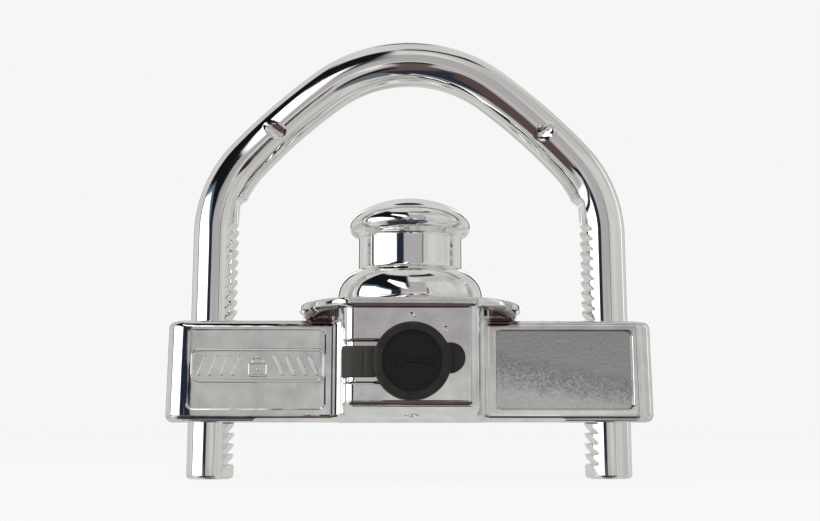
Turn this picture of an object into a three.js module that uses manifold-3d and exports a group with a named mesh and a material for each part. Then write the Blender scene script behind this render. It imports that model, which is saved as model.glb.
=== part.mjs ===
// Universal trailer coupler lock.
//
// A U-shaped shackle drops over the coupler and its toothed legs pass down through
// the crossbar. The ball post on the crossbar fills the coupler's ball socket. Turning
// the key 45 degrees pushes two toothed pawls sideways into the teeth of the legs.
//
// Millimetres, +X right, +Y away from the keyhole side, +Z up. The origin is on the
// ball post's axis, on the floor of the seat that the post stands in. The lock is drawn
// unlocked, with both pawls drawn in.

import * as THREE from "three";
import { mergeVertices } from "three/addons/utils/BufferGeometryUtils.js";
import Module from "manifold-3d";

const wasm = await Module();
wasm.setup();

// ---------------------------------------------------------------- driving dimensions

const GAP = 0.3; // clearance between touching pieces
const DEG = Math.PI / 180;
const SWIPE = 50; // reach of a cutter that runs out past the part
const OVERRUN = 1; // how far a cutter runs past the face that it opens
const BURIED = 3; // how far a joined shape reaches into its neighbour
const ROUND_SIDES = 24; // sides of a large round hole
const SMALL_SIDES = 12; // sides of a small hole, pin or screw

// Shackle
const BAR_RADIUS = 7.95; // 5/8 in bar
const LEG_X = 68;
const LEG_BOTTOM = -58;
const LEG_CHAMFER = 1.2;
const BEND_START = 26; // height at which a leg starts to lean inwards
const BEND_RADIUS = 40;
const BEND_END = 42 * DEG; // lean from upright where the shoulder starts
const SHOULDER_RADIUS = 200;
const CROWN_START = 53 * DEG; // lean from upright where the crown starts
const SHACKLE_STEPS = 56;
const SHACKLE_SIDES = 16;

// Ratchet teeth: flat on top, sloping below, on the inner side of both legs
const TOOTH_PITCH = 3.5;
const TOOTH_DEPTH = 3;
const TOOTH_LAND = 0.7;
const TOOTH_COUNT = 24;
const TEETH_BOTTOM = -53.2;

// Crossbar casting
const ARM_HALF_LENGTH = 82.6;
const ARM_HALF_DEPTH = 13;
const ARM_TOP = -5.2;
const ARM_BOTTOM = -39.2;
const ARM_END_RADIUS = 7;
const ARM_EDGE_RADIUS = 2.4;
const LEG_HOLE_RADIUS = BAR_RADIUS + 0.4;
const HOUSING_FRONT = -31;
const HOUSING_HALF_WIDTH = 22.3;
const HOUSING_CORNER = 4;
const HOUSING_COVE = 3.7; // hollow fillet where the housing meets the arms
const HOUSING_CHIN = -34.5; // bottom of the front face, above the arms' underside
const HOUSING_CHIN_END = -11; // Y at which the sloping chin meets that underside
const FLANGE_RADIUS = 38.5;
const FLANGE_TOP = 0.8;
const FLANGE_BOTTOM = -2.2; // underside of the rim
const FLANGE_FRONT = -31.6; // the disc is cut flat here
const FLANGE_ROOT_FRONT = -8; // where the sloping underside meets the arms' front
const FLANGE_ROOT_BACK = -4.65; // the same at the back, above the rear cover
const FLANGE_ROOT_RADIUS = 37.3;
const FLANGE_BEVEL = 0.8;

// Panels sunk into the front of the arms
const PANEL_INNER_X = 28.7;
const PANEL_OUTER_X = 74.6;
const PANEL_TOP = -8.5;
const PANEL_BOTTOM = -34.8;
const PANEL_CORNER = 2;
const RIGHT_PANEL_DEPTH = 1;
const LEFT_PANEL_DEPTH = 0.35;

// Ball post
const CAP_TOP = 38.5;
const CAP_RADIUS = 21.4;
const NECK_RADIUS = 18.4;
const COLLAR_RADIUS = 25.4;
const SPIGOT_RADIUS = 11.7;
const SPIGOT_DEPTH = 7;
const POST_SIDES = 28;
const POST_PIN_RADIUS = 1.6;
const POST_PIN_X = 6;
const POST_PIN_Z = -3.8;
const POST_PIN_FRONT = -9;
const POST_PIN_BACK = 16;

// Rear cover
const COVER_HALF_LENGTH = 57.5;
const COVER_TOP = -7.6;
const COVER_BOTTOM = -34.6;
const COVER_THICKNESS = 4.7;
const COVER_CORNER = 3;
const COVER_SCREW_X = [-50, 0, 50];
const COVER_SCREW_Z = [-10.4, -31.8];
const SCREW_RADIUS = 1.25;
const SCREW_HEAD_RADIUS = 2.1;
const SCREW_HEAD_HEIGHT = 1.3;
const SCREW_HEAD_RIM = 0.3;
const SCREW_SLOT_HALF_WIDTH = 0.4;
const SCREW_SLOT_DEPTH = 0.9;
const SCREW_LENGTH = 9.3;
const SCREW_SUNK = 0.2; // head below the cover's face

// Lock. Depths in this block run from the housing front, plus inwards
const LOCK_Z = -20;
const KEY_TURN = 45 * DEG;
const CYLINDER_RADIUS = 8.7;
const CYLINDER_HEAD_RADIUS = 10.3;
const CYLINDER_FRONT = -2.4;
const CYLINDER_BACK = 21.7;
const PLUG_RADIUS = 5.6;
const PLUG_HEAD_RADIUS = 6.8;
const PLUG_HEAD_LENGTH = 1.2;
const PLUG_FRONT = -2.2;
const PLUG_BACK = 22;
const TAIL_HALF_WIDTH = 2;
const TAIL_END = 25.7;
const KEYWAY_HALF_WIDTH = 0.9;
const KEYWAY_LOW = -3.6;
const KEYWAY_HIGH = 3.2;
const KEYWAY_DEPTH = 18.5;
const WAFER_COUNT = 5;
const WAFER_FIRST = 2.4;
const WAFER_PITCH = 3.4;
const WAFER_HALF_WIDTH = 3.1;
const WAFER_THICKNESS = 1.2;
const WAFER_RADIUS = 5.3;
const WAFER_WINDOW_HALF_WIDTH = 1.6;
const WAFER_STEP = 0.5; // difference between two heights of a wafer's window
const CAM_RADIUS = 7;
const CAM_FRONT = 22.4;
const CAM_BACK = 25.5;
const CAM_PIN_ORBIT = 4.7;
const CAM_PIN_RADIUS = 1.1;
const CAM_PIN_END = 31.8;
const CAM_SCREW_RADIUS = 1.1;
const CAM_SCREW_HEAD_RADIUS = 3;
const CAM_SCREW_START = 20;
const CAM_SCREW_END = 27.6;
const CAM_POCKET_RADIUS = 7.4;
const SET_SCREW_RADIUS = 2;
const SET_SCREW_Y = -20;
const SET_SCREW_BOTTOM = -36.2;
const SET_SCREW_SLOT_HALF_WIDTH = 0.35;
const SET_SCREW_SLOT_DEPTH = 0.8;

// Pawls, drawn in. The cam pins' swing moves each one outwards by PAWL_TRAVEL
const PAWL_TRAVEL = 2 * CAM_PIN_ORBIT * Math.sin(KEY_TURN / 2);
const PAWL_TEETH = 4;
const PAWL_FIRST_TOOTH = 7; // lowest leg tooth in reach of the pawl
const PAWL_BITE = TOOTH_DEPTH - 3 * GAP;
const PAWL_TOOTH_DEPTH = 3.2;
const PAWL_TOOTH_LAND = 0.1;
const PAWL_HALF_DEPTH = 5;
const PAWL_BOTTOM = -29;
const PAWL_TOP = -13;
const PAWL_BODY_INNER_X = 41.5;
const PAWL_BODY_OUTER_X = 48.5;
const PAWL_BODY_BACK = 7.7;
const PAWL_ARM_HEIGHT = 5;
const PAWL_ARM_FRONT = -2.9;
const PAWL_ARM_BACK = 0.3;
const PAWL_ARM_END = 5.6; // reach past the middle
const PAWL_SLOT_PLAY = 0.55; // room for the cam pin above and below
const SPRING_SEAT_X = 29;
const SPRING_RADIUS = 2.2;
const SPRING_WIRE = 0.45;
const SPRING_TURNS = 4.5;

// Dust cap
const DUST_CAP_RADIUS = 12.5;
const DUST_CAP_BORE = 10.6;
const DUST_CAP_DEPTH = 6;
const DUST_CAP_CEILING = 3;
const DUST_CAP_DISH = 9.6;
const DUST_CAP_DISH_DEPTH = 0.6;
const DUST_CAP_DISH_SLOPE = 0.3;
const DUST_CAP_EDGE = 0.7;
const TAB_FRONT = -3.8;
const TAB_BACK = -1.8;
const TAB_ROOT_X = 11.2; // where the tab and the strap start, inside the cap's wall
const TAB_RADIUS = 4.8;
const TAB_END = 16.9;
const STRAP_HALF_WIDTH = 5;
const STRAP_THICKNESS = 1.4;
const STRAP_PROUD = 0.4; // stands this far out of its channel
const STRAP_FOLD_X = -15.3;
const STRAP_END_Y = -19.6;
const CHANNEL_HALF_WIDTH = 6.6;
const CHANNEL_INNER_X = -10.7;
const STUD_RADIUS = 1.7;
const STUD_Y = -22.5;
const STUD_END_X = -17.5;

// ---------------------------------------------------------------- geometry helpers

const AXES = {
  x: [new THREE.Vector3(0, 1, 0), new THREE.Vector3(0, 0, 1), new THREE.Vector3(1, 0, 0)],
  y: [new THREE.Vector3(1, 0, 0), new THREE.Vector3(0, 0, 1), new THREE.Vector3(0, -1, 0)],
  z: [new THREE.Vector3(1, 0, 0), new THREE.Vector3(0, 1, 0), new THREE.Vector3(0, 0, 1)],
};

// A flat outline pushed along an axis. Outlines are drawn in YZ, XZ or XY.
function prism(outline, axis, from, to, options = {}) {
  const bevel = options.bevel ?? 0;
  const geometry = new THREE.ExtrudeGeometry(outline, {
    depth: to - from - 2 * bevel,
    bevelEnabled: bevel > 0,
    bevelSize: bevel,
    bevelThickness: bevel,
    bevelOffset: -bevel,
    bevelSegments: 2,
    curveSegments: options.curveSegments ?? 2,
  });
  geometry.applyMatrix4(new THREE.Matrix4().makeBasis(...AXES[axis]));
  const start = axis === "y" ? to - bevel : from + bevel;
  const shift = { x: 0, y: 0, z: 0, [axis]: start };
  return geometry.translate(shift.x, shift.y, shift.z);
}

function polygon(points) {
  return new THREE.Shape(points.map(([x, y]) => new THREE.Vector2(x, y)));
}

function roundedRectangle(left, right, bottom, top, radius) {
  const shape = new THREE.Shape();
  shape.absarc(right - radius, bottom + radius, radius, -Math.PI / 2, 0);
  shape.absarc(right - radius, top - radius, radius, 0, Math.PI / 2);
  shape.absarc(left + radius, top - radius, radius, Math.PI / 2, Math.PI);
  shape.absarc(left + radius, bottom + radius, radius, Math.PI, 1.5 * Math.PI);
  shape.closePath();
  return shape;
}

// A block given by its limits.
function block(x0, x1, y0, y1, z0, z1) {
  const geometry = new THREE.BoxGeometry(Math.abs(x1 - x0), y1 - y0, z1 - z0);
  return geometry.translate((x0 + x1) / 2, (y0 + y1) / 2, (z0 + z1) / 2);
}

// A round bar between two stations on a line parallel to an axis.
function rod(radius, axis, centre, from, to, sides = 16) {
  const geometry = new THREE.CylinderGeometry(radius, radius, to - from, sides);
  const middle = (from + to) / 2;
  const [a, b] = centre;
  if (axis === "x") {
    return geometry.rotateZ(Math.PI / 2).translate(middle, a, b);
  }
  if (axis === "y") {
    return geometry.translate(a, middle, b);
  }
  return geometry.rotateX(Math.PI / 2).translate(a, b, middle);
}

// A turned shape: [radius, station] pairs, stations rising along the axis.
function turned(profile, axis, sides = 20) {
  const points = profile.map(([radius, station]) => new THREE.Vector2(radius, station));
  const geometry = new THREE.LatheGeometry(points, sides);
  return axis === "z" ? geometry.rotateX(Math.PI / 2) : geometry;
}

// ---------------------------------------------------------------- joining and cutting

function toSolid(geometry) {
  const bare = geometry.clone();
  bare.deleteAttribute("normal");
  bare.deleteAttribute("uv");
  const merged = mergeVertices(bare);
  const corners = Array.from(merged.index.array);
  const triangles = [];
  for (let i = 0; i < corners.length; i += 3) {
    const [a, b, c] = corners.slice(i, i + 3);
    if (a !== b && b !== c && c !== a) {
      triangles.push(a, b, c);
    }
  }
  return new wasm.Manifold(new wasm.Mesh({
    numProp: 3,
    vertProperties: merged.attributes.position.array,
    triVerts: new Uint32Array(triangles),
  }));
}

function toGeometry(solid) {
  const mesh = solid.getMesh();
  const geometry = new THREE.BufferGeometry();
  geometry.setAttribute("position", new THREE.BufferAttribute(mesh.vertProperties, 3));
  geometry.setIndex(new THREE.BufferAttribute(mesh.triVerts, 1));
  geometry.computeVertexNormals();
  return geometry;
}

// Joins the first list of shapes and cuts the second list out of them.
function shaped(joined, cut = []) {
  let result = joined.map(toSolid).reduce((sum, next) => sum.add(next));
  for (const cutter of cut) {
    result = result.subtract(toSolid(cutter));
  }
  return toGeometry(result);
}

// The part of a shape that lies inside another.
function common(geometry, limit) {
  return toGeometry(toSolid(geometry).intersect(toSolid(limit)));
}

// ---------------------------------------------------------------- meshes and materials

function metal(color, roughness) {
  return new THREE.MeshStandardMaterial({ color, roughness, metalness: 1 });
}

function rubber() {
  return new THREE.MeshStandardMaterial({ color: 0x2b2a28, roughness: 0.75, metalness: 0 });
}

const CHROME = [0xd6d6d2, 0.08];
const STEEL = [0x9b9c9e, 0.35];
const ZINC = [0xb9bab8, 0.3];
const BRASS = [0xc2a25a, 0.3];

function piece(name, geometry, material, position = [0, 0, 0]) {
  const mesh = new THREE.Mesh(geometry, material);
  mesh.name = name;
  mesh.position.set(...position);
  return mesh;
}

// ---------------------------------------------------------------- shackle

// A circular arc in the XZ plane.
class UprightArc extends THREE.Curve {
  constructor(centreX, centreZ, radius, from, to) {
    super();
    Object.assign(this, { centreX, centreZ, radius, from, to });
  }

  getPoint(t, target = new THREE.Vector3()) {
    const angle = this.from + (this.to - this.from) * t;
    return target.set(
      this.centreX + this.radius * Math.cos(angle),
      0,
      this.centreZ + this.radius * Math.sin(angle),
    );
  }
}

// The bar's centre line: leg, bend, long shoulder, crown, and the same down the other side.
// Each arc's centre lies on the line through its neighbour's centre and their meeting point.
function shackleLine() {
  const bendX = LEG_X - BEND_RADIUS;
  const reach = SHOULDER_RADIUS - BEND_RADIUS;
  const shoulderX = bendX - reach * Math.cos(BEND_END);
  const shoulderZ = BEND_START - reach * Math.sin(BEND_END);
  const crownRadius = SHOULDER_RADIUS + shoulderX / Math.cos(CROWN_START);
  const crownZ = shoulderZ + (SHOULDER_RADIUS - crownRadius) * Math.sin(CROWN_START);
  const line = new THREE.CurvePath();
  const leg = (side) => [
    new THREE.Vector3(side * LEG_X, 0, LEG_BOTTOM),
    new THREE.Vector3(side * LEG_X, 0, BEND_START),
  ];
  line.add(new THREE.LineCurve3(...leg(1)));
  line.add(new UprightArc(bendX, BEND_START, BEND_RADIUS, 0, BEND_END));
  line.add(new UprightArc(shoulderX, shoulderZ, SHOULDER_RADIUS, BEND_END, CROWN_START));
  line.add(new UprightArc(0, crownZ, crownRadius, CROWN_START, Math.PI - CROWN_START));
  line.add(new UprightArc(
    -shoulderX, shoulderZ, SHOULDER_RADIUS, Math.PI - CROWN_START, Math.PI - BEND_END,
  ));
  line.add(new UprightArc(-bendX, BEND_START, BEND_RADIUS, Math.PI - BEND_END, Math.PI));
  line.add(new THREE.LineCurve3(...leg(-1).reverse()));
  return line;
}

// The notches between the teeth of one leg, as one saw-edged cutter.
function teethCutter(side) {
  const surface = LEG_X - BAR_RADIUS;
  const root = surface + TOOTH_DEPTH;
  const outside = surface - OVERRUN;
  const outline = [[side * outside, TEETH_BOTTOM]];
  for (let i = 0; i < TOOTH_COUNT; i += 1) {
    const floor = TEETH_BOTTOM + i * TOOTH_PITCH;
    const land = floor + TOOTH_PITCH - TOOTH_LAND;
    outline.push([side * root, floor]);
    outline.push([side * surface, land]);
    outline.push([side * surface, floor + TOOTH_PITCH]);
  }
  outline.pop();
  outline.push([side * outside, TEETH_BOTTOM + TOOTH_COUNT * TOOTH_PITCH - TOOTH_LAND]);
  return prism(polygon(outline), "y", -BAR_RADIUS - OVERRUN, BAR_RADIUS + OVERRUN);
}

function chamferCutter(side) {
  const ring = turned([
    [BAR_RADIUS - LEG_CHAMFER, -OVERRUN],
    [BAR_RADIUS + OVERRUN, -OVERRUN],
    [BAR_RADIUS + OVERRUN, LEG_CHAMFER + OVERRUN],
    [BAR_RADIUS - LEG_CHAMFER, 0],
    [BAR_RADIUS - LEG_CHAMFER, -OVERRUN],
  ], "z", SHACKLE_SIDES);
  return ring.translate(side * LEG_X, 0, LEG_BOTTOM);
}

function shackle() {
  const section = new THREE.Shape();
  section.absarc(0, 0, BAR_RADIUS, 0, 2 * Math.PI);
  const bar = new THREE.ExtrudeGeometry(section, {
    steps: SHACKLE_STEPS,
    curveSegments: SHACKLE_SIDES / 2, // an arc gets two sides for each
    extrudePath: shackleLine(),
  });
  const cutters = [1, -1].flatMap((side) => [teethCutter(side), chamferCutter(side)]);
  return piece("shackle", shaped([bar], cutters), metal(...CHROME));
}

// ---------------------------------------------------------------- crossbar casting

function housingBody() {
  const halfWidth = HOUSING_HALF_WIDTH;
  const coveX = halfWidth + HOUSING_COVE;
  const coveY = -ARM_HALF_DEPTH - HOUSING_COVE;
  const cornerY = HOUSING_FRONT + HOUSING_CORNER;
  const cornerX = halfWidth - HOUSING_CORNER;
  const inside = -ARM_HALF_DEPTH + BURIED;
  const plan = new THREE.Shape();
  plan.moveTo(-coveX, inside);
  plan.absarc(-coveX, coveY, HOUSING_COVE, Math.PI / 2, 0, true);
  plan.absarc(-cornerX, cornerY, HOUSING_CORNER, Math.PI, 1.5 * Math.PI);
  plan.absarc(cornerX, cornerY, HOUSING_CORNER, 1.5 * Math.PI, 2 * Math.PI);
  plan.absarc(coveX, coveY, HOUSING_COVE, Math.PI, Math.PI / 2, true);
  plan.lineTo(coveX, inside);
  plan.closePath();
  const body = prism(plan, "z", ARM_BOTTOM, (FLANGE_TOP + FLANGE_BOTTOM) / 2);
  const side = polygon([
    [HOUSING_FRONT - OVERRUN, OVERRUN],
    [HOUSING_FRONT - OVERRUN, HOUSING_CHIN],
    [HOUSING_FRONT, HOUSING_CHIN],
    [HOUSING_CHIN_END, ARM_BOTTOM],
    [inside + OVERRUN, ARM_BOTTOM],
    [inside + OVERRUN, OVERRUN],
  ]);
  return common(body, prism(side, "x", -SWIPE, SWIPE));
}

// The disc that the coupler rests on, cut flat in front, and the thicker root below it.
function flangeBody() {
  const rim = turned([
    [0, FLANGE_BOTTOM],
    [FLANGE_RADIUS - FLANGE_BEVEL, FLANGE_BOTTOM],
    [FLANGE_RADIUS, FLANGE_BOTTOM + FLANGE_BEVEL],
    [FLANGE_RADIUS, FLANGE_TOP - FLANGE_BEVEL],
    [FLANGE_RADIUS - FLANGE_BEVEL, FLANGE_TOP],
    [0, FLANGE_TOP],
  ], "z", 40);
  const trimmed = common(rim, block(-SWIPE, SWIPE, FLANGE_FRONT, SWIPE, -SWIPE, SWIPE));
  const middle = (FLANGE_TOP + FLANGE_BOTTOM) / 2;
  const side = polygon([
    [HOUSING_FRONT, FLANGE_BOTTOM],
    [-ARM_HALF_DEPTH, FLANGE_ROOT_FRONT],
    [-ARM_HALF_DEPTH + BURIED, FLANGE_ROOT_FRONT],
    [-ARM_HALF_DEPTH + BURIED, ARM_TOP - OVERRUN],
    [ARM_HALF_DEPTH, ARM_TOP - OVERRUN],
    [ARM_HALF_DEPTH, FLANGE_ROOT_BACK],
    [-HOUSING_FRONT, FLANGE_BOTTOM],
    [-HOUSING_FRONT, middle],
    [HOUSING_FRONT, middle],
  ]);
  const wedge = prism(side, "x", -SWIPE, SWIPE);
  const root = common(rod(FLANGE_ROOT_RADIUS, "z", [0, 0], -SWIPE, 0, 40), wedge);
  return [trimmed, root];
}

function panelCutter(side, depth) {
  const ends = [side * PANEL_INNER_X, side * PANEL_OUTER_X];
  const left = Math.min(...ends);
  const right = Math.max(...ends);
  const outline = roundedRectangle(left, right, PANEL_BOTTOM, PANEL_TOP, PANEL_CORNER);
  const floor = -ARM_HALF_DEPTH + depth;
  return prism(outline, "y", -ARM_HALF_DEPTH - OVERRUN, floor, { curveSegments: 1 });
}

// The space the pawl slides in, with the window into its leg hole.
function pawlPocket(side) {
  const low = PAWL_BOTTOM - GAP;
  const high = PAWL_TOP + GAP;
  const wall = PAWL_BODY_OUTER_X + PAWL_TRAVEL + GAP;
  const front = -PAWL_HALF_DEPTH - GAP;
  return [
    block(side * SPRING_SEAT_X, side * wall, front, ARM_HALF_DEPTH, low, high),
    block(side * (wall - OVERRUN), side * LEG_X, front, PAWL_HALF_DEPTH + GAP, low, high),
  ];
}

// The left pawl's arm runs above the lock's axis and the right pawl's below it.
function armZ(side) {
  return LOCK_Z - side * CAM_PIN_ORBIT * Math.cos(KEY_TURN / 4);
}

function armChannel(side) {
  const half = PAWL_ARM_HEIGHT / 2 + GAP;
  const end = -side * (PAWL_ARM_END + PAWL_SLOT_PLAY);
  const front = PAWL_ARM_FRONT - GAP;
  const seat = side * (SPRING_SEAT_X + OVERRUN);
  return block(end, seat, front, ARM_HALF_DEPTH, armZ(side) - half, armZ(side) + half);
}

function coverRecess() {
  const outline = roundedRectangle(
    -COVER_HALF_LENGTH - GAP, COVER_HALF_LENGTH + GAP,
    COVER_BOTTOM - GAP, COVER_TOP + GAP, COVER_CORNER + GAP,
  );
  const floor = ARM_HALF_DEPTH - COVER_THICKNESS - GAP;
  return prism(outline, "y", floor, ARM_HALF_DEPTH + OVERRUN, { curveSegments: 1 });
}

// The channel that leads the cap's strap round the housing's left corner.
function strapChannel() {
  const depth = STRAP_THICKNESS - STRAP_PROUD + GAP;
  const cornerX = -HOUSING_HALF_WIDTH + HOUSING_CORNER;
  const cornerY = HOUSING_FRONT + HOUSING_CORNER;
  const outside = HOUSING_HALF_WIDTH + OVERRUN;
  const end = STRAP_END_Y + GAP;
  const plan = new THREE.Shape();
  plan.moveTo(CHANNEL_INNER_X, HOUSING_FRONT - OVERRUN);
  plan.lineTo(CHANNEL_INNER_X, HOUSING_FRONT + depth);
  plan.absarc(cornerX, cornerY, HOUSING_CORNER - depth, 1.5 * Math.PI, Math.PI, true);
  plan.lineTo(-HOUSING_HALF_WIDTH + depth, end);
  plan.lineTo(-outside, end);
  plan.lineTo(-outside, HOUSING_FRONT - OVERRUN);
  plan.closePath();
  return prism(plan, "z", LOCK_Z - CHANNEL_HALF_WIDTH, LOCK_Z + CHANNEL_HALF_WIDTH);
}

function crossbarCasting() {
  const plan = roundedRectangle(
    -ARM_HALF_LENGTH, ARM_HALF_LENGTH, -ARM_HALF_DEPTH, ARM_HALF_DEPTH, ARM_END_RADIUS,
  );
  const arms = prism(plan, "z", ARM_BOTTOM, ARM_TOP, { bevel: ARM_EDGE_RADIUS });
  const cuts = [
    panelCutter(1, RIGHT_PANEL_DEPTH),
    panelCutter(-1, LEFT_PANEL_DEPTH),
    coverRecess(),
    strapChannel(),
  ];
  for (const side of [-1, 1]) {
    cuts.push(rod(LEG_HOLE_RADIUS, "z", [side * LEG_X, 0], -SWIPE, 0, ROUND_SIDES));
    cuts.push(...pawlPocket(side));
    cuts.push(armChannel(side));
    const pinCentre = [side * POST_PIN_X, POST_PIN_Z];
    const pinStart = POST_PIN_FRONT - GAP;
    cuts.push(rod(POST_PIN_RADIUS + GAP, "y", pinCentre, pinStart, SWIPE, SMALL_SIDES));
  }
  for (const x of COVER_SCREW_X) {
    for (const z of COVER_SCREW_Z) {
      const bottom = ARM_HALF_DEPTH - SCREW_LENGTH - OVERRUN;
      const hole = SCREW_RADIUS + GAP;
      cuts.push(rod(hole, "y", [x, z], bottom, ARM_HALF_DEPTH, SMALL_SIDES));
    }
  }
  const shoulder = HOUSING_FRONT + CYLINDER_BACK + GAP;
  const lockAxis = [0, LOCK_Z];
  const face = HOUSING_FRONT - OVERRUN;
  cuts.push(rod(CYLINDER_RADIUS + GAP, "y", lockAxis, face, shoulder, ROUND_SIDES));
  const pocketFront = shoulder - OVERRUN;
  cuts.push(rod(CAM_POCKET_RADIUS, "y", lockAxis, pocketFront, ARM_HALF_DEPTH, ROUND_SIDES));
  const open = FLANGE_TOP + OVERRUN;
  cuts.push(rod(COLLAR_RADIUS + 2 * GAP, "z", [0, 0], 0, open, POST_SIDES));
  const spigotEnd = -SPIGOT_DEPTH - GAP;
  cuts.push(rod(SPIGOT_RADIUS + GAP, "z", [0, 0], spigotEnd, open, ROUND_SIDES));
  cuts.push(rod(SET_SCREW_RADIUS + GAP, "z", [0, SET_SCREW_Y], -SWIPE, LOCK_Z, SMALL_SIDES));
  const studEnd = STUD_END_X + GAP;
  cuts.push(rod(STUD_RADIUS + GAP, "x", [STUD_Y, LOCK_Z], -SWIPE, studEnd, SMALL_SIDES));
  const solid = shaped([arms, housingBody(), ...flangeBody()], cuts);
  return piece("crossbar_casting", solid, metal(...CHROME));
}

// ---------------------------------------------------------------- ball post

// [radius, height] of the collar, neck and domed cap, from the flange up.
const POST_PROFILE = [
  [COLLAR_RADIUS - 0.6, GAP],
  [COLLAR_RADIUS, 1.6],
  [COLLAR_RADIUS, 5.6],
  [COLLAR_RADIUS - 1.5, 9.6],
  [COLLAR_RADIUS - 3.4, 11.5],
  [COLLAR_RADIUS - 5.7, 12.6],
  [NECK_RADIUS, 13],
  [NECK_RADIUS, 24.3],
  [CAP_RADIUS - 0.9, 26.4],
  [CAP_RADIUS, 28.6],
  [CAP_RADIUS - 0.6, 30.7],
  [CAP_RADIUS - 2.4, 32.9],
  [CAP_RADIUS - 5.6, 35],
  [CAP_RADIUS - 10, 36.9],
  [CAP_RADIUS - 15, 38.1],
  [0, CAP_TOP],
];

function ballPost() {
  const profile = [
    [0, -SPIGOT_DEPTH],
    [SPIGOT_RADIUS, -SPIGOT_DEPTH],
    [SPIGOT_RADIUS, GAP],
    ...POST_PROFILE,
  ];
  const pinHoles = [-1, 1].map((side) => (
    rod(POST_PIN_RADIUS + GAP, "y", [side * POST_PIN_X, POST_PIN_Z], -SWIPE, SWIPE, SMALL_SIDES)
  ));
  const post = turned(profile, "z", POST_SIDES);
  return piece("ball_post", shaped([post], pinHoles), metal(...CHROME));
}

function postPin(name, x) {
  const length = POST_PIN_BACK - POST_PIN_FRONT;
  const pin = new THREE.CylinderGeometry(POST_PIN_RADIUS, POST_PIN_RADIUS, length, SMALL_SIDES);
  const middle = (POST_PIN_BACK + POST_PIN_FRONT) / 2;
  return piece(name, pin, metal(...STEEL), [x, middle, POST_PIN_Z]);
}

// ---------------------------------------------------------------- rear cover

// A countersunk screw with its head at the back; the station is the distance from the head.
function screwProfile(clearance) {
  const radius = SCREW_RADIUS + clearance;
  const head = SCREW_HEAD_RADIUS + clearance;
  return { radius, head };
}

function coverScrew(name, x, z) {
  const { radius, head } = screwProfile(0);
  const screw = turned([
    [0, -SCREW_LENGTH],
    [radius, -SCREW_LENGTH],
    [radius, -SCREW_HEAD_HEIGHT],
    [head, -SCREW_HEAD_RIM],
    [head, 0],
    [0, 0],
  ], "y", SMALL_SIDES);
  const reach = SCREW_HEAD_RADIUS + OVERRUN;
  const half = SCREW_SLOT_HALF_WIDTH;
  const slot = block(-reach, reach, -SCREW_SLOT_DEPTH, OVERRUN, -half, half);
  const position = [x, ARM_HALF_DEPTH - SCREW_SUNK, z];
  return piece(name, shaped([screw], [slot]), metal(...STEEL), position);
}

function countersink(x, z) {
  const { radius, head } = screwProfile(GAP);
  const face = SCREW_SUNK + OVERRUN;
  return turned([
    [0, -COVER_THICKNESS - OVERRUN],
    [radius, -COVER_THICKNESS - OVERRUN],
    [radius, -SCREW_HEAD_HEIGHT - GAP],
    [head, -GAP],
    [head, face],
    [0, face],
  ], "y", SMALL_SIDES).translate(x, ARM_HALF_DEPTH - SCREW_SUNK, z);
}

function rearCover() {
  const outline = roundedRectangle(
    -COVER_HALF_LENGTH, COVER_HALF_LENGTH, COVER_BOTTOM, COVER_TOP, COVER_CORNER,
  );
  const front = ARM_HALF_DEPTH - COVER_THICKNESS;
  const plate = prism(outline, "y", front, ARM_HALF_DEPTH, { curveSegments: 1 });
  const holes = COVER_SCREW_X.flatMap((x) => COVER_SCREW_Z.map((z) => countersink(x, z)));
  return piece("rear_cover", shaped([plate], holes), metal(...ZINC));
}

// ---------------------------------------------------------------- lock cylinder

function lockCylinder() {
  const barrel = turned([
    [0, CYLINDER_FRONT],
    [CYLINDER_HEAD_RADIUS, CYLINDER_FRONT],
    [CYLINDER_HEAD_RADIUS, -GAP],
    [CYLINDER_RADIUS, -GAP],
    [CYLINDER_RADIUS, CYLINDER_BACK],
    [0, CYLINDER_BACK],
  ], "y");
  const bore = rod(PLUG_RADIUS + GAP, "y", [0, 0], -SWIPE, SWIPE);
  const counterbore = PLUG_FRONT + PLUG_HEAD_LENGTH + GAP;
  const seat = rod(PLUG_HEAD_RADIUS + GAP, "y", [0, 0], -SWIPE, counterbore);
  return piece("lock_cylinder", shaped([barrel], [bore, seat]), metal(...BRASS));
}

function waferY(index) {
  return WAFER_FIRST + index * WAFER_PITCH;
}

function lockPlug() {
  const barrel = turned([
    [0, PLUG_FRONT],
    [PLUG_HEAD_RADIUS, PLUG_FRONT],
    [PLUG_HEAD_RADIUS, PLUG_FRONT + PLUG_HEAD_LENGTH],
    [PLUG_RADIUS, PLUG_FRONT + PLUG_HEAD_LENGTH],
    [PLUG_RADIUS, PLUG_BACK],
    [0, PLUG_BACK],
  ], "y", 20);
  const half = TAIL_HALF_WIDTH;
  const tail = block(-half, half, PLUG_BACK - OVERRUN, TAIL_END, -half, half);
  const width = KEYWAY_HALF_WIDTH;
  const cuts = [
    block(-width, width, PLUG_FRONT - OVERRUN, KEYWAY_DEPTH, KEYWAY_LOW, KEYWAY_HIGH),
    rod(
      CAM_SCREW_RADIUS + GAP, "y", [0, 0], CAM_SCREW_START - GAP, TAIL_END + OVERRUN,
      SMALL_SIDES,
    ),
  ];
  const slotHalf = WAFER_THICKNESS / 2 + GAP;
  const slotWidth = WAFER_HALF_WIDTH + GAP;
  for (let i = 0; i < WAFER_COUNT; i += 1) {
    const y = waferY(i);
    cuts.push(block(-slotWidth, slotWidth, y - slotHalf, y + slotHalf, -SWIPE, SWIPE));
  }
  return piece("lock_plug", shaped([barrel, tail], cuts), metal(...BRASS));
}

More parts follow.
